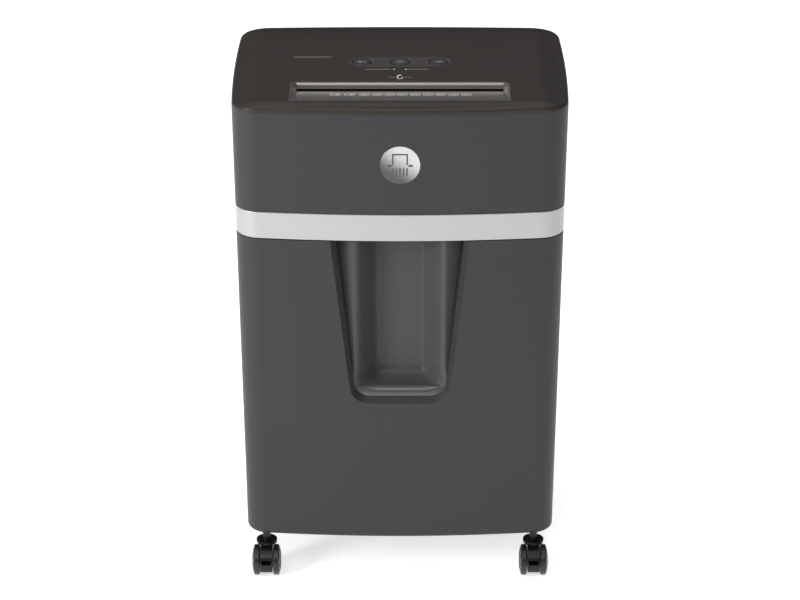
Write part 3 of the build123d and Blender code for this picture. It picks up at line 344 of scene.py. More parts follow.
@dataclass(frozen=True)
class Lacquer(Finish):
    """Silver lacquer: small metal flakes under a satin clear coat."""

    flake: float = 0.35
    metallic: float = 0.55

    def nodes(self, net: Surface) -> bpy.types.Material:
        """Flakes vary the colour and the roughness from cell to cell."""
        flakes = net.wire("ShaderNodeTexVoronoi", None,
                          {"Vector": net.place, "Scale": 1.0 / (self.flake * MM)}, "Color")
        flake = net.split(flakes)[0]
        cloud = net.noise(45.0, 2.0)
        tint = net.blend(flake * 0.6 + cloud * 0.4, shade(self.colour, 0.93), shade(self.colour, 1.07))
        rough = self.roughness + (flake - 0.5) * 0.08
        return net.close({
            "Base Color": tint, "Roughness": rough, "Metallic": self.metallic,
            "Coat Weight": 0.25, "Coat Roughness": 0.25,
            "Normal": net.bump(net.noise(self.flake * 1.6, 2.0), 0.01, 0.3, self.edge)})


@dataclass(frozen=True)
class Brushed(Finish):
    """Metal brushed in one direction, with painted shade turning into a painted highlight across it."""

    lines: Colour = (0.05, 1.0, 1.0)
    size: float = 0.5
    low: float = 1.0
    high: float = 1.0
    centre: tuple[float, float] = (0.0, 0.0)
    painted_light_reach: float = 1.0

    def nodes(self, net: Surface) -> bpy.types.Material:
        """Stretched noise makes the brushing; painted shade at the lower left turns into a painted highlight
        at the upper right.
        """
        hair = net.noise(self.size, 3.0, self.lines)
        x, _, z = net.split(net.place)
        # Painted light: the colour runs from painted shade (low) to a painted highlight (high) about the
        # centre.
        across = (x - self.centre[0]) + (z - self.centre[1]) * 1.4
        painted_light = across.rise(-self.painted_light_reach, self.painted_light_reach)
        tint = net.blend(painted_light, shade(self.colour, self.low), shade(self.colour, self.high))
        tint = net.blend(hair * 0.35, tint, shade(self.colour, 0.45 * (self.low + self.high) / 2))
        rough = self.roughness + (hair - 0.5) * 0.16
        return net.close({
            "Base Color": tint, "Roughness": rough, "Metallic": 1.0,
            "Normal": net.bump(hair, 0.02, 0.3, self.edge)})


@dataclass(frozen=True)
class Steel(Finish):
    """Machined, plated or sintered metal: cutter marks, blotches of oil and darker pores."""

    pores: float = 0.0
    blotch: float = 12.0

    def nodes(self, net: Surface) -> bpy.types.Material:
        """Blotches in colour and roughness, pores where the cells are smallest."""
        oil = net.noise(self.blotch, 4.0)
        marks = net.noise(0.4, 2.0, (1.0, 0.2, 1.0))
        pore = (1 - net.cells(0.9) * 3.0).most(0.0) * self.pores
        tint = net.blend(oil, shade(self.colour, 0.8), shade(self.colour, 1.12))
        tint = net.blend(pore, tint, shade(self.colour, 0.35))
        rough = self.roughness + (oil - 0.5) * 0.2 + (marks - 0.5) * 0.1
        return net.close({
            "Base Color": tint, "Roughness": rough, "Metallic": 1.0,
            "Normal": net.bump(marks, 0.02, 0.3, self.edge)})


@dataclass(frozen=True)
class SolderMask(Finish):
    """Green circuit board: straight copper tracks that show through the mask."""

    def nodes(self, net: Surface) -> bpy.types.Material:
        """A brick pattern gives the tracks."""
        values = {"Vector": net.place, "Color1": (0, 0, 0, 1), "Color2": (0.2, 0.2, 0.2, 1),
                  "Mortar": (1, 1, 1, 1), "Scale": 220.0, "Mortar Size": 0.06}
        track = net.split(net.wire("ShaderNodeTexBrick", None, values))[0]
        tint = net.blend(track, self.colour, shade(self.colour, 1.8))
        return net.close({
            "Base Color": tint, "Roughness": self.roughness - track * 0.1, "Coat Weight": 0.3,
            "Normal": net.bump(track, 0.04, 0.4, 0.0)})


@dataclass(frozen=True)
class Print(Finish):
    """Pad-printed ink, a little darker where it has worn; the dim ink also paints the highlight arcs on the
    keys' rims.
    """

    def nodes(self, net: Surface) -> bpy.types.Material:
        """Fine noise darkens the ink in places."""
        worn = net.noise(0.7, 4.0)
        tint = net.blend(worn.rise(0.60, 0.80), self.colour, shade(self.colour, 0.6))
        return net.close({
            "Base Color": tint, "Roughness": self.roughness + (worn - 0.5) * 0.2,
            "Normal": net.bump(worn, 0.01, 0.3, 0.0)})


class Finishes:
    """Every finish on the shredder, by the piece that it suits."""

    LID = Dished("finish_lid", (0.0265, 0.0225, 0.0195), 0.44, grain=0.9, depth=0.02, specular=0.28)
    BODY = Moulded("finish_body", (0.0248, 0.0260, 0.0278), 0.46, grain=0.8, depth=0.02, specular=0.38)
    BAND = Lacquer("finish_band", (0.435, 0.436, 0.438), 0.38)
    # The badge's low and high paint shade at its lower left and a highlight at its upper right.
    BADGE = Brushed("finish_badge", (0.78, 0.78, 0.79), 0.26, lines=(1.0, 1.0, 0.06), size=0.6,
                    low=0.10, high=0.85, centre=(0.0, 0.507), painted_light_reach=0.027)
    BADGE_MARK = Polished("finish_badge_mark", (0.05, 0.05, 0.052), 0.22)
    SLOT = Polished("finish_slot", (0.080, 0.073, 0.067), 0.30, specular=0.6)
    # Bright satin metal: a real reflecting strip whose light colour also paints the highlight on the slot's
    # back wall.
    SLOT_HIGHLIGHT_STRIP = Brushed("finish_slot_highlight_strip", (0.74, 0.71, 0.69), 0.40, lines=(0.04, 1.0, 1.0), size=0.5)
    PANEL = Polished("finish_panel", (0.042, 0.037, 0.033), 0.34, specular=0.35)
    BUTTON = Moulded("finish_button", (0.036, 0.033, 0.031), 0.34, grain=0.5, depth=0.015, specular=0.4)
    # Near-black with hardly any shine: painted shade for the gaps round the keys and for the slot's throat.
    PAINTED_SHADE = Polished("finish_painted_shade", (0.004, 0.0038, 0.0035), 0.5, specular=0.08, coat=0.0)
    INK = Print("finish_ink", (0.78, 0.76, 0.73), 0.55, 0.0)
    # Dim ink for the printed rules and key symbols; it also paints the highlight arcs on the keys' rims.
    INK_DIM_AND_HIGHLIGHT = Print("finish_ink_dim_and_highlight", (0.17, 0.16, 0.15), 0.55, 0.0)
    LINER = WornLip("finish_liner", (0.068, 0.068, 0.068), 0.34, 0.0, wave=60.0, specular=0.12, coat=0.08,
                     wiping=0.02)
    TUB = Moulded("finish_tub", (0.022, 0.022, 0.023), 0.5, grain=1.2, depth=0.05)
    STRUCTURE = Moulded("finish_structure", (0.018, 0.018, 0.019), 0.55, grain=1.0, depth=0.05)
    SWITCH = Polished("finish_switch", (0.012, 0.012, 0.013), 0.25)
    LENS = Polished("finish_lens", (0.62, 0.64, 0.60), 0.18, coat=0.8)
    BOARD = SolderMask("finish_board", (0.015, 0.10, 0.045), 0.4)
    PLATE = Steel("finish_plate", (0.56, 0.57, 0.60), 0.34, blotch=9.0)
    CUTTER = Steel("finish_cutter", (0.40, 0.40, 0.41), 0.28, pores=0.1)
    GEAR = Steel("finish_gear", (0.26, 0.26, 0.27), 0.42, pores=0.7)
    BRONZE = Steel("finish_bronze", (0.60, 0.42, 0.20), 0.36, pores=0.6)
    COMB = Moulded("finish_comb", (0.030, 0.030, 0.031), 0.6, grain=0.6, depth=0.04)
    CAN = Steel("finish_can", (0.34, 0.35, 0.37), 0.38, blotch=20.0)
    NYLON = Moulded("finish_nylon", (0.56, 0.55, 0.50), 0.45, grain=1.0)
    SCREW = Steel("finish_screw", (0.22, 0.22, 0.23), 0.36, blotch=4.0)
    AXLE = Steel("finish_axle", (0.60, 0.60, 0.62), 0.25, blotch=6.0)
    CASTER = Polished("finish_caster", (0.006, 0.006, 0.0065), 0.30, wave=9.0, specular=0.30, coat=0.1)
    TREAD = Moulded("finish_tread", (0.011, 0.011, 0.012), 0.32, grain=0.7, depth=0.02, specular=0.5)


# ---------------------------------------------------------------- forms
def flat_on_top(height: float) -> Lay:
    """Lays flat marks on a level face at a height, in millimetres."""
    return lambda u, v, w: (u, v, height + w)


def steps(count: int, start: float = 0.0, sweep: float = 360.0) -> list[float]:
    """Evenly spaced angles in radians, without the last one of a full turn."""
    whole = abs(sweep) >= 360.0
    gaps = count if whole else count - 1
    return [math.radians(start + sweep * i / gaps) for i in range(count)]


def arc(centre: Flat, radius: float, turns: Iterable[float], stretch: float = 1.0) -> list[Flat]:
    """Points round a centre at the given angles, with their v stretched by a factor."""
    u, v = centre
    return [(u + radius * math.cos(turn), v + radius * stretch * math.sin(turn)) for turn in turns]


def link(name: str, data: bpy.types.ID) -> bpy.types.Object:
    """Adds an object with some data to the scene."""
    piece = bpy.data.objects.new(name, data)
    bpy.context.scene.collection.objects.link(piece)
    return piece


def empty_piece(name: str) -> bpy.types.Object:
    """A piece with no mesh yet, for a tree that makes its own."""
    return link(name, bpy.data.meshes.new(name))


class Form:
    """A mesh in the making. Points are flat (u, v) with a height w, laid where the piece goes."""

    def __init__(self, lay: Lay) -> None:
        """Starts empty."""
        self.mesh = bmesh.new()
        self.lay = lay

    def _point(self, u: float, v: float, w: float) -> bmesh.types.BMVert:
        """One vertex at a laid point."""
        return self.mesh.verts.new([part * MM for part in self.lay(u, v, w)])

    def prism(self, outline: Sequence[Flat], low: float, high: float) -> "Form":
        """Adds a straight prism on a closed outline."""
        foot = [self._point(u, v, low) for u, v in outline]
        top = [self._point(u, v, high) for u, v in outline]
        self.mesh.faces.new(list(reversed(foot)))
        self.mesh.faces.new(top)
        for i in range(len(outline)):
            j = (i + 1) % len(outline)
            self.mesh.faces.new((foot[i], foot[j], top[j], top[i]))
        return self

    def ribbon(self, inner: Sequence[Flat], outer: Sequence[Flat], low: float, high: float,
               closed: bool, slope: float = 0.0) -> "Form":
        """Adds a thin solid between two lines of points.

        Args:
            inner: points of one edge.
            outer: points of the other edge, one for each inner point.
            low: height of its underside.
            high: height of its top along the inner edge.
            closed: True where the ribbon runs round into itself.
            slope: how much lower the top is along the outer edge.

        Returns:
            This form.
        """
        rows = [(inner, low), (outer, low), (outer, high - slope), (inner, high)]
        rings = [[self._point(u, v, w) for u, v in points] for points, w in rows]
        count = len(inner)
        for i in range(count if closed else count - 1):
            j = (i + 1) % count
            for a in range(4):
                b = (a + 1) % 4
                self.mesh.faces.new((rings[a][i], rings[a][j], rings[b][j], rings[b][i]))
        if not closed:
            self.mesh.faces.new([ring[0] for ring in rings])
            self.mesh.faces.new([ring[-1] for ring in reversed(rings)])
        return self

    def ring(self, centre: Flat, outer: float, width: float, low: float, high: float,
             start: float = 0.0, sweep: float = 360.0, stretch: float = 1.0, count: int = 32) -> "Form":
        """Adds a ring, or the arc of one.

        Args:
            centre: its middle.
            outer: its outer radius.
            width: the width of its line.
            low: height of its underside.
            high: height of its top.
            start: angle where an arc starts, in degrees.
            sweep: how far it runs, in degrees.
            stretch: its length along v for each length along u.
            count: points along it.

        Returns:
            This form.
        """
        turns = steps(count, start, sweep)
        inner, edge = (arc(centre, radius, turns, stretch) for radius in (outer - width, outer))
        return self.ribbon(inner, edge, low, high, abs(sweep) >= 360.0)

    def bar(self, start: Flat, end: Flat, width: float, low: float, high: float) -> "Form":
        """Adds a straight bar with round ends."""
        run = math.atan2(end[1] - start[1], end[0] - start[0])
        outline = []
        for centre, turn in ((end, run - math.pi / 2), (start, run + math.pi / 2)):
            outline += arc(centre, width / 2, [turn + math.pi * i / 6 for i in range(7)])
        return self.prism(outline, low, high)

    def object(self, name: str, smooth: float = 30.0) -> bpy.types.Object:
        """Closes the mesh and makes it an object at the origin.

        Args:
            name: the object's name.
            smooth: faces that meet at less than this angle, in degrees, are shaded as one.

        Returns:
            The object, linked to the scene.
        """
        bmesh.ops.remove_doubles(self.mesh, verts=self.mesh.verts, dist=0.002 * MM)
        bmesh.ops.recalc_face_normals(self.mesh, faces=self.mesh.faces)
        data = bpy.data.meshes.new(name)
        self.mesh.to_mesh(data)
        self.mesh.free()
        data.shade_smooth()
        data.set_sharp_from_angle(angle=math.radians(smooth))
        return link(name, data)


# ---------------------------------------------------------------- repeating trees
class Pattern:
    """A Geometry Nodes tree with named inputs, run on a piece and turned into a plain mesh."""

    def __init__(self, name: str, inputs: dict[str, str]) -> None:
        """Makes the tree and its inputs.

        Args:
            name: the tree's name.
            inputs: name of each input to the last part of its socket type.
        """
        self.tree = bpy.data.node_groups.new(name, "GeometryNodeTree")
        sides = self.tree.interface
        sides.new_socket(name="Geometry", in_out="OUTPUT", socket_type="NodeSocketGeometry")
        sides.new_socket(name="Geometry", in_out="INPUT", socket_type="NodeSocketGeometry")
        for title, kind in {**inputs, "Finish": "Material"}.items():
            sides.new_socket(name=title, in_out="INPUT", socket_type=f"NodeSocket{kind}")
        self.net = Net(self.tree)
        self.given = self.net.add("NodeGroupInput")

    def of(self, title: str) -> Wire:
        """The wire of a named input."""
        return Wire(self.net, self.given.outputs[title])

    def repeat(self, points: Wire, instance: Wire, turn: object = (0.0, 0.0, 0.0)) -> Wire:
        """One copy of an instance on each point."""
        values = {"Points": points, "Instance": instance, "Rotation": turn}
        return self.net.wire("GeometryNodeInstanceOnPoints", None, values)

    def moved(self, geometry: Wire, place: Wire, turn: object = (0.0, 0.0, 0.0)) -> Wire:
        """The same geometry, turned and then moved."""
        values = {"Geometry": geometry, "Translation": place, "Rotation": turn}
        return self.net.wire("GeometryNodeTransform", None, values)

    def line(self, count: Wire, step: Wire) -> Wire:
        """Points along a straight line from the origin."""
        return self.net.wire("GeometryNodeMeshLine", {"mode": "OFFSET"}, {"Count": count, "Offset": step})

    def grid(self, instance: Wire) -> Wire:
        """Copies of an instance in columns and rows."""
        column = self.repeat(self.line(self.of("Columns"), self.of("Column Step")), instance)
        return self.repeat(self.line(self.of("Rows"), self.of("Row Step")), column)

    def end(self, geometry: Wire) -> "Pattern":
        """Ends the tree: real meshes, in the finish that was given."""
        real = self.net.wire("GeometryNodeRealizeInstances", None, {"Geometry": geometry})
        values = {"Geometry": real, "Material": self.of("Finish")}
        dressed = self.net.wire("GeometryNodeSetMaterial", None, values)
        self.net.add("NodeGroupOutput", None, {"Geometry": dressed})
        return self

    def run(self, piece: bpy.types.Object, values: dict[str, object], finish: Finish,
            thickness: float = 0.0) -> bpy.types.Object:
        """Runs the tree on a piece and keeps the result as a plain mesh.

        Args:
            piece: the object whose mesh is repeated or replaced.
            values: name of each input to its value.
            finish: the finish of the result.
            thickness: a wall that the surface gets behind it, in metres.

        Returns:
            The same piece.
        """
        modifier = piece.modifiers.new(self.tree.name, "NODES")
        modifier.node_group = self.tree
        given = {**values, "Finish": finish.material()}
        for item in self.tree.interface.items_tree:
            if item.item_type == "SOCKET" and item.in_out == "INPUT" and item.name in given:
                modifier[item.identifier] = given[item.name]
        if thickness:
            wall = piece.modifiers.new("wall", "SOLIDIFY")
            wall.thickness, wall.offset = thickness, -1.0
        graph = bpy.context.evaluated_depsgraph_get()
        plain = bpy.data.meshes.new_from_object(piece.evaluated_get(graph))
        piece.modifiers.clear()
        piece.data = plain
        return piece


GRID_INPUTS = {"Columns": "Int", "Rows": "Int", "Column Step": "Vector", "Row Step": "Vector"}


def array_pattern() -> Pattern:
    """Columns and rows of the piece itself."""
    pattern = Pattern("array", GRID_INPUTS)
    return pattern.end(pattern.grid(pattern.of("Geometry")))


def spoke_pattern() -> Pattern:
    """Copies of the piece round an axis along X; the piece is modelled round the origin."""
    pattern = Pattern("spokes", {"Count": "Int", "Centre": "Vector"})
    net = pattern.net
    index = net.wire("GeometryNodeInputIndex")
    turn = net.join(index * math.tau / pattern.of("Count"), 0.0, 0.0)
    points = pattern.line(pattern.of("Count"), net.join(0.0, 0.0, 0.0))
    round_axis = pattern.repeat(points, pattern.of("Geometry"), turn)
    return pattern.end(pattern.moved(round_axis, pattern.of("Centre")))


def screw_pattern() -> Pattern:
    """Pan-head screws with a cross recess, in columns and rows, heads towards the turned +Z."""
    sizes = ("Head Radius", "Head Height", "Shank Radius", "Shank Length")
    inputs = {**{name: "Float" for name in sizes}, "Start": "Vector", "Turn": "Vector", **GRID_INPUTS}
    pattern = Pattern("screws", inputs)
    net, radius, height = pattern.net, pattern.of("Head Radius"), pattern.of("Head Height")
    shank, length = pattern.of("Shank Radius"), pattern.of("Shank Length")

    def lifted(geometry: Wire, z: Wire) -> Wire:
        """The same geometry, higher by z."""
        return pattern.moved(geometry, net.join(0.0, 0.0, z))

    head = net.wire("GeometryNodeMeshCone", None, {
        "Vertices": 24, "Radius Top": radius * 0.78, "Radius Bottom": radius, "Depth": height})
    rod = net.wire("GeometryNodeMeshCylinder", None, {"Vertices": 16, "Radius": shank, "Depth": length})
    body = net.wire("GeometryNodeMeshBoolean", {"operation": "UNION"},
                    {1: [head, lifted(rod, length * -0.5 + 0.0001)]})
    slots = [lifted(net.wire("GeometryNodeMeshCube", None, {"Size": size}), height * 0.9)
             for size in (net.join(radius * 1.15, radius * 0.24, height * 1.1),
                          net.join(radius * 0.24, radius * 1.15, height * 1.1))]
    cut = net.wire("GeometryNodeMeshBoolean", {"operation": "DIFFERENCE"}, {0: body, 1: slots})
    return pattern.end(pattern.grid(pattern.moved(cut, pattern.of("Start"), pattern.of("Turn"))))


def liner_pattern() -> Pattern:
    """The grip liner as one formula: a trough that scoops forward, two ridges, falling wings."""
    names = ("Half Width", "Low", "High", "Front", "Trough Half", "Ridge In", "Ridge Out", "Trough Depth",
             "Wing Depth", "Scoop Top", "Scoop Height", "Lip", "Flare")
    pattern = Pattern("grip_liner", {name: "Float" for name in names})
    net, given = pattern.net, pattern.of
    height = given("High") - given("Low")
    sheet = net.wire("GeometryNodeMeshGrid", None, {
        "Size X": given("Half Width") * 2, "Size Y": height, "Vertices X": 157, "Vertices Y": 201})
    x, y, _ = net.split(net.wire("GeometryNodeInputPosition"))
    z = given("Low") + height * (y / height + 0.5).most(0.0) ** 1.5
    sill = given("Scoop Top") - given("Scoop Height")
    sunk = ((given("Scoop Top") - z) / given("Scoop Height")).most(0.0).least(1.0)
    over = ((z - sill + given("Lip")) / given("Lip")).most(0.0).least(1.0)
    share = given("Lip") / given("Trough Depth")
    round_lip = 1 - (1 - over * over).most(0.0).root()
    scoop = (1 - sunk * sunk).most(0.0).root() * (1 - share) + round_lip * share
    flare = given("Flare") * z.rise(given("Scoop Top") + 0.014, given("Scoop Top") - 0.020)
    side = abs(x)
    trough = 1 - side.rise(given("Trough Half"), given("Ridge In") + flare)
    wing = (side - (given("Ridge Out") + flare)).most(0.0) / (given("Half Width") - given("Ridge Out"))
    deep = trough * scoop * given("Trough Depth") + wing * given("Wing Depth")
    placed = net.wire("GeometryNodeSetPosition", None, {
        "Geometry": sheet, "Position": net.join(x, given("Front") + deep, z)})
    smooth = net.wire("GeometryNodeSetShadeSmooth", None, {"Geometry": placed})
    return pattern.end(smooth)


# ---------------------------------------------------------------- seating pieces
def corner(node: str) -> tuple[Vector, Vector]:
    """Lowest and highest corner of a frame node, in millimetres."""
    low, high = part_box(node)
    return low / MM, high / MM


def seat(piece: bpy.types.Object, body: str, finish: Finish | None = None,
         replaces: Iterable[str] = ()) -> bpy.types.Object:
    """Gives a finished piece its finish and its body.

    Args:
        piece: the finished object.
        body: the body that it moves with.
        finish: its finish, unless a pattern has set it.
        replaces: frame nodes that it stands for.

    Returns:
        The piece.
    """
    if finish:
        piece.data.materials.clear()
        piece.data.materials.append(finish.material())
    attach(piece, body)
    if replaces:
        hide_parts(*replaces)
    log.info("%s: %d faces, on body %s", piece.name, len(piece.data.polygons), body)
    return piece


def dress(finish: Finish, *nodes: str) -> None:
    """Gives frame nodes their finish."""
    for name in nodes:
        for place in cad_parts[name].material_slots:
            place.material = finish.material()
        log.info("%s: %s", name, finish.name)


def row(form: Form, name: str, finish: Finish, count: int, step: Sequence[float]) -> bpy.types.Object:
    """Repeats a form along a straight line.

    Args:
        form: the first one of the row.
        name: the piece's name.
        finish: its finish.
        count: how many there are.
        step: from each one to the next, in millimetres.

    Returns:
        The piece, still without a body.
    """
    values = {"Columns": count, "Rows": 1, "Column Step": tuple(part * MM for part in step)}
    return ARRAY.run(form.object(name), values, finish)


def screw_group(name: str, node: str, body: str, start: Vector, turn: float, rows: int) -> None:
    """Puts four pan-head screws in the place of a frame node's plain ones.

    Args:
        name: the piece's name.
        node: the frame node with the plain screws.
        body: the body that they move with.
        start: middle of the first screw's head, in millimetres.
        turn: how far the screws are turned about X, in radians.
        rows: axis from row to row, 1 or 2; the screws run along the other one.
    """
    low, high = corner(node)
    into = 3 - rows
    step = high - low - Vector((1.0, 1.0, 1.0)) * 2 * SCREW_HEAD_RADIUS
    row_step = Vector((0.0, 0.0, 0.0))
    row_step[rows] = step[rows] * MM
    values = {
        "Head Radius": SCREW_HEAD_RADIUS * MM, "Head Height": SCREW_HEAD_HEIGHT * MM,
        "Shank Radius": SCREW_SHANK_RADIUS * MM,
        "Shank Length": (high[into] - low[into] - SCREW_HEAD_HEIGHT) * MM,
        "Start": start * MM, "Turn": (turn, 0, 0), "Columns": 2, "Rows": 2,
        "Column Step": (step.x * MM, 0, 0), "Row Step": row_step}
    piece = SCREWS.run(empty_piece(name), values, Finishes.SCREW)
    seat(piece, body, replaces=[node])


class Assembly:
    """A sub-assembly: it dresses its frame nodes and builds its own pieces."""

    def dress(self) -> None:
        """Gives the frame nodes their finishes."""

    def mesh(self) -> None:
        """Builds the pieces that the frame doesn't have."""

    def build(self) -> None:
        """Dresses the nodes, then builds the pieces."""
        self.dress()
        self.mesh()


# ---------------------------------------------------------------- lid
class Key(Enum):
    """The three keys, from left to right."""

    REVERSE = "reverse"
    AUTO = "auto"
    FORWARD = "forward"


@dataclass
class Lid(Assembly):
    """Cover, feed slot insert, key row and the printed marks between them."""

    proud: float = 0.06
    sunk: float = -0.15
    highlight_arc_radius: float = 12.4
    highlight_arc_width: float = 0.9
    shadow_ring_in: float = 10.15
    shadow_ring_width: float = 1.1
    rule_y: float = 26.0
    rule: tuple[float, float] = (-116.0, -76.0)
    rule_width: float = 2.2
    lamp_rule_width: float = 2.0
    lamp_rules: tuple[tuple[float, float], ...] = ((-37.0, -10.5), (10.5, 30.0))
    feed_y: float = -37.0
    feed_wings: tuple[float, float] = (4.8, 13.0)
    wing_width: float = 1.3
    feed_radius: float = 3.4
    feed_line: float = 1.1
    feed_arrow: tuple[float, float] = (3.0, 7.5)
    feed_arrow_half: float = 2.0
    ring_count: int = 9
    ring_pitch: float = 13.6
    ring_radius: float = 5.6
    ring_start: float = -38.0
    page_xs: tuple[float, ...] = (-69.0, -54.0)
    page_foot: float = 5.5
    page_top: float = 4.5
    page_tall: float = 4.0
    page_line: float = 0.9
    arrow: float = 4.4
    arrow_half: float = 3.4
    stem: float = 1.3
    dish: float = 0.35
    dish_bend: float = 80.0
    ramp_inset: float = 6.2
    ramp_run: float = 39.0
    ramp_drop: float = 5.2
    strip_setback: float = 59.9
    strip_half: float = 112.6
    strip_low: float = 4.55
    strip_high: float = 0.75
    wall_lean: float = 2.0 / 5.2
    throat_setback: float = 53.7
    throat_half: float = 110.5
    throat_depth: float = 14.0

    def dress(self) -> None:
        """Cover, slot insert, panel, keys and what lies under them."""
        dress(Finishes.LID, "top_cover")
        dress(Finishes.SLOT, "entry_guide")
        dress(Finishes.PANEL, "button_panel")
        dress(Finishes.BUTTON, *[f"button_{key.value}" for key in Key])
        dress(Finishes.LENS, "indicator_lenses")
        dress(Finishes.BOARD, "control_board")
        dress(Finishes.COMB, "sensor_lever")

    def mesh(self) -> None:
        """Marks, painted shadow rings round the keys, key symbols, slot marks, the slot's strip with its
        painted highlight and the painted shade in the throat.
        """
        self.lid_marks()
        self.shadow_rings()
        for key in Key:
            self.symbol(key)
        self.slot_rings()
        self.slot_pages()
        self.slot_highlight_strip()
        self.throat_shadow_sheet()

    def key_centre(self, key: Key) -> Flat:
        """Middle of a key, seen from above."""
        low, high = corner(f"button_{key.value}")
        return (low.x + high.x) / 2, (low.y + high.y) / 2

    def lid_marks(self) -> None:
        """Fine printed lines: a rule, the lamps' lines and the feed mark; and a painted highlight, a short
        light arc on each key's rim.
        """
        top = corner("top_cover")[1].z
        lamps = corner("indicator_lenses")
        lamp_y = (lamps[0].y + lamps[1].y) / 2
        dim = Form(flat_on_top(top))
        for start, end in self.lamp_rules:
            dim.bar((start, lamp_y), (end, lamp_y), self.lamp_rule_width, self.sunk, self.proud)
        start, end = self.rule
        dim.bar((start, self.rule_y), (end, self.rule_y), self.rule_width, self.sunk, self.proud)
        near, far = self.feed_wings
        for side in (-1, 1):
            inner, outer = (side * near, self.feed_y), (side * far, self.feed_y)
            dim.bar(inner, outer, self.wing_width, self.sunk, self.proud)
        seat(dim.object("lid_rules"), "cabinet", Finishes.INK_DIM_AND_HIGHLIGHT)
        bright = Form(flat_on_top(top))
        bright.ring((0.0, self.feed_y + 1.0), self.feed_radius, self.feed_line, self.sunk, self.proud,
                    start=60.0, sweep=290.0, stretch=2.0, count=28)
        half, (root, tip) = self.feed_arrow_half, (self.feed_y - drop for drop in self.feed_arrow)
        bright.prism([(-half, root), (half, root), (0.0, tip)], self.sunk, self.proud)
        seat(bright.object("feed_mark"), "cabinet", Finishes.INK)
        # Painted highlight: a short light arc at the upper right of each key's rim.
        panel_top = corner("button_panel")[1].z
        rim_highlights = Form(flat_on_top(panel_top))
        for key in Key:
            rim_highlights.ring(self.key_centre(key), self.highlight_arc_radius, self.highlight_arc_width, self.sunk, self.proud,
                       start=12.0, sweep=34.0, count=8)
        seat(rim_highlights.object("key_rim_highlights"), "cabinet", Finishes.INK_DIM_AND_HIGHLIGHT)

    def shadow_rings(self) -> None:
        """A near-black sloping ring round each key, painted shade for the shadow in the gap round it,
        repeated along the row.
        """
        x, y = self.key_centre(Key.REVERSE)
        pitch = self.key_centre(Key.AUTO)[0] - x
        form = Form(flat_on_top(corner("button_panel")[1].z))
        inner, outer = (arc((x, y), self.shadow_ring_in + grow, steps(64)) for grow in (0.0, self.shadow_ring_width))
        form.ribbon(inner, outer, -0.6, -0.05, True, -0.17)
        seat(row(form, "key_shadow_rings", Finishes.PAINTED_SHADE, len(Key), (pitch, 0, 0)), "cabinet")

    def symbol(self, key: Key) -> None:
        """The symbol on one key: an arrow to the left, a ring with a bar, an arrow to the right."""
        x, y = self.key_centre(key)
        floor = corner(f"button_{key.value}")[1].z - self.dish
        form = Form(lambda u, v, w: (u, v, floor + ((u - x) ** 2 + (v - y) ** 2) / self.dish_bend + w))
        size, low, high = self.arrow, -0.4, self.proud + 0.05
        if key is Key.AUTO:
            form.ring((x, y), size, 1.2, low, high, start=120.0, sweep=300.0, count=28)
            form.bar((x, y + 0.6), (x, y + size + 0.8), self.stem, low, high)
        else:
            side = -1 if key is Key.REVERSE else 1
            tip, root = x + side * (size + 1.0), x + side * 0.4
            form.prism([(tip, y), (root, y + self.arrow_half), (root, y - self.arrow_half)], low, high)
            tail, top, foot = x - side * size, y + self.stem, y - self.stem
            form.prism([(root, top), (tail, top), (tail, foot), (root, foot)], low, high)
        seat(form.object(f"symbol_{key.value}"), f"button_{key.value}", Finishes.INK_DIM_AND_HIGHLIGHT)

    def ramp(self) -> Lay:
        """Lays marks on the slot's front ramp: u across, v up the ramp towards the throat."""
        back = corner("entry_guide")[0].y + self.ramp_inset + self.ramp_run
        foot = corner("top_cover")[1].z - self.ramp_drop
        slope = self.ramp_drop / self.ramp_run
        return lambda u, v, w: (u, back - v, foot + v * slope + w)

    def ramp_middle(self) -> float:
        """Distance from the throat to the middle of the printed row, along the ramp."""
        return self.ramp_run * 0.36

    def slot_rings(self) -> None:
        """A row of plain printed rings with a bar, on the ramp."""
        form = Form(self.ramp())
        middle = (self.ring_start, self.ramp_middle())
        form.ring(middle, self.ring_radius, 0.9, self.sunk, self.proud, count=28)
        form.bar((middle[0] - 2.0, middle[1]), (middle[0] + 2.0, middle[1]), 1.5, self.sunk, self.proud)
        piece = row(form, "slot_rings", Finishes.INK, self.ring_count, (self.ring_pitch, 0, 0))
        seat(piece, "cabinet")

    def slot_pages(self) -> None:
        """Two printed sheet outlines beside the rings."""
        form, v = Form(self.ramp()), self.ramp_middle()
        for x in self.page_xs:
            near, far = v - self.page_tall, v + self.page_tall
            edges = [(x - self.page_foot, near), (x + self.page_foot, near),
                     (x + self.page_top, far), (x - self.page_top, far)]
            for start, end in zip(edges, edges[1:] + edges[:1]):
                form.bar(start, end, self.page_line, self.sunk, self.proud)
            form.ring((x + 2.0, v), 1.7, 1.6, self.sunk, self.proud, count=12)
        seat(form.object("slot_pages"), "cabinet", Finishes.INK)

    def slot_highlight_strip(self) -> None:
        """Satin metal strip along the slot's back wall, above the shadow line at its foot; its bright colour
        is partly a painted highlight, standing in for a lamp's reflection on the wall.
        """
        top = corner("top_cover")[1].z
        back = corner("entry_guide")[0].y + self.strip_setback
        half, low, high = self.strip_half, top - self.strip_low, top - self.strip_high
        form = Form(lambda u, v, w: (u, back - (top - v) * self.wall_lean - w, v))
        form.prism([(-half, low), (half, low), (half + 1.2, high), (-half - 1.2, high)], -0.6, 0.12)
        seat(form.object("slot_highlight_strip"), "cabinet", Finishes.SLOT_HIGHLIGHT_STRIP)

    def throat_shadow_sheet(self) -> None:
        """Near-black sheet on the throat's back wall: painted shade for the dark throat."""
        back = corner("entry_guide")[0].y + self.throat_setback
        floor = corner("top_cover")[1].z - self.ramp_drop
        half, low, high = self.throat_half, floor - self.throat_depth, floor - 0.4
        form = Form(lambda u, v, w: (u, back - w, v))
        form.prism([(-half, low), (half, low), (half, high), (-half, high)], -0.3, 0.25)
        seat(form.object("throat_shadow_sheet"), "cabinet", Finishes.PAINTED_SHADE)


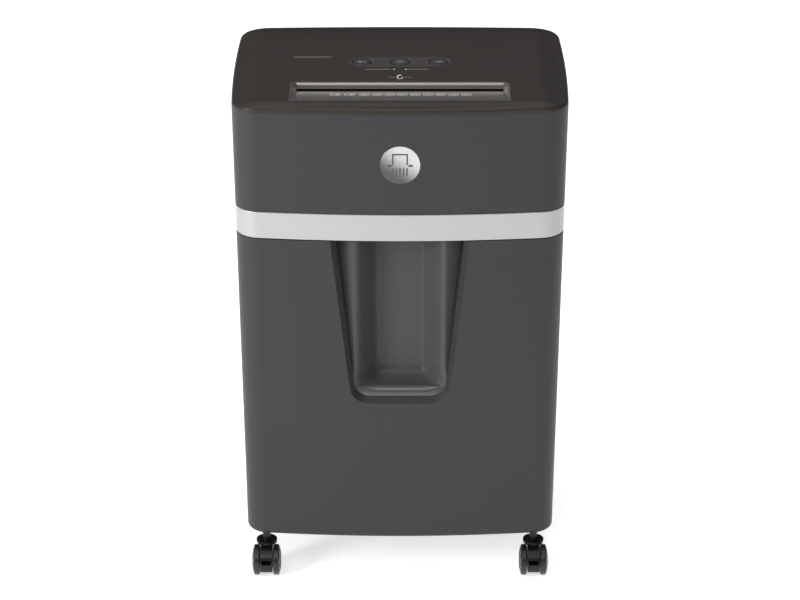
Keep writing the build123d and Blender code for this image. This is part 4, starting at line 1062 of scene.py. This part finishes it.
# ---------------------------------------------------------------- head
@dataclass
class Head(Assembly):
    """Fascia, silver band, lower housing and the badge with its sheet-and-strips mark."""

    page_half: float = 7.6
    page_low: float = 1.2
    page_high: float = 12.4
    line: float = 1.7
    bar_half: float = 12.6
    strips: int = 5
    strip_pitch: float = 3.7
    strip_low: float = -11.5
    sunk: float = -0.5
    raised: float = 0.15
    dome: float = 0.7
    slot_line: float = 2.3
    strip_high: float = -3.6

    def dress(self) -> None:
        """Shells, band, badge and the hidden housing."""
        dress(Finishes.BODY, "head_shell")
        dress(Finishes.BAND, "silver_band")
        dress(Finishes.BADGE, "emblem_badge")
        dress(Finishes.STRUCTURE, "head_base")
        dress(Finishes.SWITCH, "interlock_switch")
        dress(Finishes.NYLON, "interlock_plunger")

    def mesh(self) -> None:
        """The badge's mark and the housing's screws."""
        self.badge_page()
        self.badge_strips()
        self.screws()

    def on_badge(self) -> Lay:
        """Lays marks on the badge's domed face: u to the right, v up, w outwards."""
        low, high = corner("emblem_badge")
        middle, radius = (low.z + high.z) / 2, (high.z - low.z) / 2
        bend = (radius * radius + self.dome * self.dome) / (2 * self.dome)
        return lambda u, v, w: (u, low.y + bend - math.sqrt(bend * bend - u * u - v * v) - w, middle + v)

    def badge_page(self) -> None:
        """A sheet going into a slot."""
        form, half, low, high = Form(self.on_badge()), self.page_half, self.page_low, self.page_high
        points = [(-half, low), (-half, high), (half, high), (half, low)]
        for start, end in zip(points, points[1:]):
            form.bar(start, end, self.line, self.sunk, self.raised)
        form.bar((-self.bar_half, -0.4), (self.bar_half, -0.4), self.slot_line, self.sunk, self.raised)
        seat(form.object("badge_page"), "cabinet", Finishes.BADGE_MARK)

    def badge_strips(self) -> None:
        """Strips that fall from the slot."""
        start = -(self.strips - 1) / 2 * self.strip_pitch
        form = Form(self.on_badge())
        form.bar((start, self.strip_high), (start, self.strip_low), self.line, self.sunk, self.raised)
        piece = row(form, "badge_strips", Finishes.BADGE_MARK, self.strips, (self.strip_pitch, 0, 0))
        seat(piece, "cabinet")

    def screws(self) -> None:
        """Screws from below into the head shell's bosses."""
        low, _ = corner("head_screws")
        start = low + Vector((SCREW_HEAD_RADIUS, SCREW_HEAD_RADIUS, SCREW_HEAD_HEIGHT / 2))
        screw_group("housing_screws", "head_screws", "cabinet", start, math.pi, 1)


@dataclass
class RearFittings(Assembly):
    """Louvres, power switch and lead gland on the back of the head."""

    louvre_x: tuple[float, float] = (18.0, 112.0)
    louvre_z: float = 487.0
    louvre_rows: int = 8
    louvre_pitch: float = 6.0
    louvre_tall: float = 3.2
    louvre_points: int = 25
    louvre_out: float = 0.5
    louvre_slope: float = 0.4
    bow: float = 5.0
    draft: float = 0.75
    seam_drop: float = 7.0
    rocker_axis: float = 4.9
    rocker_tilt: float = -8.0
    rocker_half: float = 4.6
    rocker_out: float = 3.6

    def dress(self) -> None:
        """Switch and gland."""
        dress(Finishes.SWITCH, "power_switch_frame", "power_rocker", "inlet_gland")

    def mesh(self) -> None:
        """Louvres and the switch's symbols."""
        self.louvres()
        self.rocker_marks()

    def louvres(self) -> None:
        """Slim louvres that follow the bowed wall, one above the other."""
        edge = corner("top_cover")[1]
        seam = edge.z - self.seam_drop
        slope = math.tan(math.radians(self.draft))

        def lay(u: float, v: float, w: float) -> tuple[float, float, float]:
            """On the back wall, with its bow and its draft: u across, v up, w outwards."""
            return u, edge.y - self.bow * (u / edge.x) ** 2 - (seam - v) * slope + w, v

        start, end = self.louvre_x
        gaps = self.louvre_points - 1
        xs = [start + (end - start) * i / gaps for i in range(self.louvre_points)]
        foot, top = ([(x, self.louvre_z + tall) for x in xs] for tall in (0.0, self.louvre_tall))
        form = Form(lay)
        form.ribbon(foot, top, -0.6, self.louvre_out, False, self.louvre_slope)
        step = (0, self.louvre_pitch * slope, self.louvre_pitch)
        seat(row(form, "rear_louvres", Finishes.STRUCTURE, self.louvre_rows, step), "cabinet")

    def rocker_marks(self) -> None:
        """A bar and a ring, one on each half of the rocker key."""
        low, high = corner("power_rocker")
        x, z = (low.x + high.x) / 2, (low.z + high.z) / 2
        axis, tilt = high.y - self.rocker_axis, math.radians(self.rocker_tilt)
        cos, sin = math.cos(tilt), math.sin(tilt)

        def lay(u: float, v: float, w: float) -> tuple[float, float, float]:
            """On the key's two slopes: u across, v up, w outwards."""
            out = self.rocker_out + abs(v) / self.rocker_half + w
            return x - u, axis + out * cos - v * sin, z + out * sin + v * cos

        form = Form(lay)
        form.bar((0.0, 1.6), (0.0, 3.4), 0.6, -0.3, 0.04)
        form.ring((0.0, -2.5), 1.1, 0.45, -0.3, 0.04, count=16)
        seat(form.object("rocker_marks"), "power_rocker", Finishes.INK)


# ---------------------------------------------------------------- cutting unit and drive
class CuttingUnit(Assembly):
    """Plates, rods, bushes, shafts, discs and combs."""

    def dress(self) -> None:
        """Steel for what cuts and carries, black nylon for the combs."""
        dress(Finishes.PLATE, "side_plate_left", "side_plate_right", "tie_rods")
        dress(Finishes.BRONZE, "shaft_bushes")
        dress(Finishes.CUTTER, "cutter_shaft_front", "cutter_shaft_rear", "cutter_discs_front",
              "cutter_discs_rear")
        dress(Finishes.COMB, "stripper_comb_front", "stripper_comb_rear")


class DriveTrain(Assembly):
    """Gears, their pins and plate, and the motor."""

    def dress(self) -> None:
        """Sintered gears, plated motor can, natural nylon fan."""
        dress(Finishes.GEAR, "cutter_gear_front", "cutter_gear_rear", "drive_gear", "idler_gear_low",
              "idler_gear_high", "motor_rotor")
        dress(Finishes.AXLE, "gear_pins")
        dress(Finishes.PLATE, "gear_plate")
        dress(Finishes.CAN, "motor_body")
        dress(Finishes.NYLON, "motor_fan")


# ---------------------------------------------------------------- cabinet and bin
@dataclass
class Cabinet(Assembly):
    """Outer shell, floor and caster sockets."""

    rib_pitch: float = 22.0
    rib_count: int = 10
    rib_height: float = 4.0
    rib_width: float = 1.8
    rib_margin: float = 24.0
    floor_height: float = 4.0

    def dress(self) -> None:
        """Grained grey outside, black inside."""
        dress(Finishes.BODY, "cabinet_shell")
        dress(Finishes.STRUCTURE, "cabinet_base", "caster_sockets")

    def mesh(self) -> None:
        """Stiffening ribs on the floor, from front to back."""
        low, high = corner("cabinet_base")
        first = -(self.rib_count - 1) / 2 * self.rib_pitch
        form = Form(flat_on_top(low.z + self.floor_height))
        front, back = low.y + self.rib_margin, high.y - self.rib_margin
        form.bar((first, front), (first, back), self.rib_width, -0.5, self.rib_height)
        piece = row(form, "floor_ribs", Finishes.STRUCTURE, self.rib_count, (self.rib_pitch, 0, 0))
        seat(piece, "cabinet")


@dataclass
class Bin(Assembly):
    """Front panel, folded grip liner and the waste container."""

    trough_half: float = 22.5
    ridge_in: float = 49.5
    ridge_out: float = 49.5
    trough_depth: float = 31.0
    wing_depth: float = 17.0
    scoop_top: float = 254.0
    scoop_height: float = 15.0
    lip: float = 9.0
    flare: float = 4.0
    wall: float = 2.2
    side_rib_pitch: float = 19.0
    side_ribs: int = 9
    rim_radius: float = 22.0
    bead: float = 2.4

    def dress(self) -> None:
        """Grey panel, black tub."""
        dress(Finishes.BODY, "bin_front_panel")
        dress(Finishes.TUB, "bin_tub", "interlock_tab")

    def mesh(self) -> None:
        """Grip liner, tub rim, tub ribs and screws."""
        self.liner()
        self.rim()
        self.ribs()
        self.screws()

    def liner(self) -> None:
        """Glossy liner of the grip recess, in place of its plain solid."""
        low, high = corner("grip_insert")
        values = {
            "Half Width": high.x, "Low": low.z + 4.0, "High": high.z, "Front": low.y + 0.1,
            "Trough Half": self.trough_half, "Ridge In": self.ridge_in, "Ridge Out": self.ridge_out,
            "Trough Depth": self.trough_depth - self.wall, "Wing Depth": self.wing_depth,
            "Scoop Top": self.scoop_top, "Scoop Height": self.scoop_height,
            "Lip": self.lip, "Flare": self.flare}
        piece = empty_piece("grip_liner")
        LINER.run(piece, {name: value * MM for name, value in values.items()}, Finishes.LINER, self.wall * MM)
        seat(piece, "bin", replaces=["grip_insert"])

    def rim(self) -> None:
        """Rolled bead round the tub's mouth."""
        low, high = corner("bin_tub")
        centre, half = (low + high) / 2, (high - low) / 2

        def line(grow: float) -> list[Flat]:
            """The mouth's outline, moved out by some millimetres."""
            points = []
            for turn, (sx, sy) in zip((0, 90, 180, 270), ((1, 1), (-1, 1), (-1, -1), (1, -1))):
                u = centre.x + sx * (half.x - self.rim_radius)
                v = centre.y + sy * (half.y - self.rim_radius)
                points += arc((u, v), self.rim_radius + grow, steps(9, turn, 90.0))
            return points

        form = Form(flat_on_top(high.z))
        form.ribbon(line(-0.6), line(self.bead), -5.0, 0.0, True, 1.0)
        seat(form.object("tub_rim"), "bin", Finishes.TUB)

    def ribs(self) -> None:
        """Upright ribs on both flanks of the tub."""
        low, high = corner("bin_tub")
        y = low.y + 24.0
        form = Form(flat_on_top(0.0))
        for side in (low.x, high.x):
            out = 1.0 if side > 0 else -1.0
            root, crest = side - out * 0.4, side + out * 1.1
            outline = [(root, y), (crest, y + 0.4), (crest, y + 1.6), (root, y + 2.0)]
            form.prism(outline, low.z + 12.0, high.z - 8.0)
        piece = row(form, "tub_ribs", Finishes.TUB, self.side_ribs, (0, self.side_rib_pitch, 0))
        seat(piece, "bin")

    def screws(self) -> None:
        """Screws from inside the tub into the front panel."""
        low, high = corner("bin_screws")
        start = Vector((low.x + SCREW_HEAD_RADIUS, high.y - SCREW_HEAD_HEIGHT, low.z + SCREW_HEAD_RADIUS))
        screw_group("panel_screws", "bin_screws", "bin", start, -math.pi / 2, 2)


# ---------------------------------------------------------------- casters
class Corner(Enum):
    """The four casters."""

    FRONT_LEFT = "front_left"
    FRONT_RIGHT = "front_right"
    REAR_LEFT = "rear_left"
    REAR_RIGHT = "rear_right"


@dataclass
class Casters(Assembly):
    """Twin-wheel casters with ribbed hub caps."""

    spokes: int = 8
    cap_radius: float = 15.0
    dome: float = 1.9
    ring_radius: float = 9.6
    ring_width: float = 1.2
    spoke: tuple[float, float] = (10.0, 13.6)
    proud: float = 0.35

    def dress(self) -> None:
        """Glossy black nylon bodies, black treads, bright axles."""
        for place in Corner:
            dress(Finishes.CASTER, f"caster_fork_{place.value}")
            dress(Finishes.TREAD, f"caster_wheels_{place.value}")
            dress(Finishes.AXLE, f"caster_axle_{place.value}")

    def mesh(self) -> None:
        """Ring and spokes on every hub cap."""
        for place in Corner:
            self.hub_ring(place)
            self.hub_spokes(place)

    def on_caps(self, place: Corner, side: int, at_axle: bool) -> Lay:
        """Lays marks on a wheel's outer cap: u and v across the cap, w outwards.

        Args:
            place: the caster.
            side: -1 for the left wheel, 1 for the right one.
            at_axle: True where the marks go straight to the axle, False round the origin.

        Returns:
            The laying function.
        """
        low, high = corner(f"caster_wheels_{place.value}")
        middle = (low + high) / 2
        half = (high.x - low.x) / 2
        y, z, x = (middle.y, middle.z, middle.x) if at_axle else (0.0, 0.0, 0.0)

        def lay(u: float, v: float, w: float) -> tuple[float, float, float]:
            """On the domed cap."""
            fall = self.dome * (u * u + v * v) / self.cap_radius ** 2
            return x + side * (half - fall + w), y + u, z + v

        return lay

    def hub_ring(self, place: Corner) -> None:
        """A raised ring on both caps."""
        form = Form(self.on_caps(place, 1, True))
        for side in (-1, 1):
            form.lay = self.on_caps(place, side, True)
            form.ring((0.0, 0.0), self.ring_radius, self.ring_width, -0.4, self.proud, count=40)
            form.ring((0.0, 0.0), 3.4, 1.0, -0.4, 0.0, count=24)
        piece = form.object(f"hub_rings_{place.value}")
        seat(piece, f"wheels_{place.value}", Finishes.CASTER)

    def hub_spokes(self, place: Corner) -> None:
        """Short spokes outside the ring, repeated round the axle."""
        form = Form(self.on_caps(place, 1, False))
        for side in (-1, 1):
            form.lay = self.on_caps(place, side, False)
            form.bar((self.spoke[0], 0.0), (self.spoke[1], 0.0), 1.3, -0.4, self.proud)
        piece = form.object(f"hub_spokes_{place.value}")
        low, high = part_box(f"caster_wheels_{place.value}")
        SPOKES.run(piece, {"Count": self.spokes, "Centre": (low + high) / 2}, Finishes.CASTER)
        seat(piece, f"wheels_{place.value}")


# ---------------------------------------------------------------- studio
@dataclass
class Studio:
    """Pale floor, soft lights and the camera at the front, a little above."""

    elevation: float = 25.0
    distance: float = 3.2796
    target_z: float = 0.2878
    lens: float = 130.5
    floor_size: float = 24.0
    lamps: list[tuple[str, Colour, float, float, float]] = field(default_factory=lambda: [
        ("key", (-2.8, -2.3, 1.4), 0.9, 1.5, 84.0),
        ("front", (-0.6, -2.3, 3.1), 2.2, 1.8, 26.0),
        ("top", (0.0, 0.5, 2.9), 2.4, 2.4, 26.0)])

    def build(self) -> None:
        """Builds the floor, the sky, the lights and the camera."""
        self.floor()
        self.sky()
        for lamp in self.lamps:
            self.lamp(*lamp)
        self.camera()
        bpy.context.scene.view_settings.view_transform = "Standard"
        bpy.context.scene.view_settings.look = "None"

    def floor(self) -> None:
        """A large pale floor that isn't part of the object."""
        form = bmesh.new()
        bmesh.ops.create_grid(form, x_segments=2, y_segments=2, size=self.floor_size / 2)
        data = bpy.data.meshes.new("floor")
        form.to_mesh(data)
        form.free()
        net = Surface("studio_floor")
        cloud = net.noise(900.0, 2.0)
        tint = net.blend(cloud, (0.90, 0.90, 0.90), (0.93, 0.93, 0.93))
        data.materials.append(net.close({
            "Base Color": tint, "Roughness": 0.9, "Specular IOR Level": 0.1,
            "Emission Color": (1.0, 1.0, 1.0, 1.0), "Emission Strength": 0.65}))
        link("floor", data)

    def sky(self) -> None:
        """White to the camera; to everything else a room that is brighter above and at the left."""
        world = bpy.data.worlds.new("studio")
        bpy.context.scene.world = world
        world.use_nodes = True
        net = Net(world.node_tree)
        world.node_tree.nodes.clear()
        x, y, z = net.split(net.wire("ShaderNodeTexCoord", None, None, "Generated"))
        above = z.rise(-0.1, 1.0)
        left = (0 - x).rise(-0.6, 1.0)
        behind = y.rise(0.0, 1.0)
        glow = 0.08 + above * 0.30 + left * 0.08 - behind * 0.06
        room = net.wire("ShaderNodeBackground", None, {"Color": (1.0, 1.0, 1.0, 1.0), "Strength": glow})
        white = net.wire("ShaderNodeBackground", None, {"Color": (1.0, 1.0, 1.0, 1.0), "Strength": 1.0})
        seen = net.wire("ShaderNodeLightPath", None, None, "Is Camera Ray")
        both = net.wire("ShaderNodeMixShader", None, {0: seen, 1: room, 2: white})
        net.add("ShaderNodeOutputWorld", None, {"Surface": both})

    def lamp(self, name: str, place: Colour, width: float, height: float, power: float) -> None:
        """One soft box aimed at the middle of the shredder."""
        data = bpy.data.lights.new(name, "AREA")
        data.shape, data.size, data.size_y, data.energy = "RECTANGLE", width, height, power
        lamp = link(name, data)
        lamp.location = place
        aim = Vector((0.0, 0.0, self.target_z)) - Vector(place)
        lamp.rotation_euler = aim.to_track_quat("-Z", "Y").to_euler()

    def camera(self) -> None:
        """Looks down at the front from a little above."""
        data = bpy.data.cameras.new("camera")
        data.lens = self.lens
        data.sensor_width = 36.0
        data.clip_end = 60.0
        camera = link("camera", data)
        down = math.radians(self.elevation)
        back, up = self.distance * math.cos(down), self.distance * math.sin(down)
        camera.location = (0.0, -back, self.target_z + up)
        camera.rotation_euler = (math.radians(90.0) - down, 0.0, 0.0)
        bpy.context.scene.camera = camera


# ---------------------------------------------------------------- build
ARRAY = array_pattern()
SPOKES = spoke_pattern()
SCREWS = screw_pattern()
LINER = liner_pattern()


def main() -> None:
    """Builds every sub-assembly and the studio."""
    logging.basicConfig(level=logging.INFO, format="%(name)s %(message)s")
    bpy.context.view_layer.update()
    for assembly in (Lid(), Head(), RearFittings(), CuttingUnit(), DriveTrain(), Cabinet(), Bin(), Casters()):
        assembly.build()
    Studio().build()


if __name__ == "__main__":
    main()
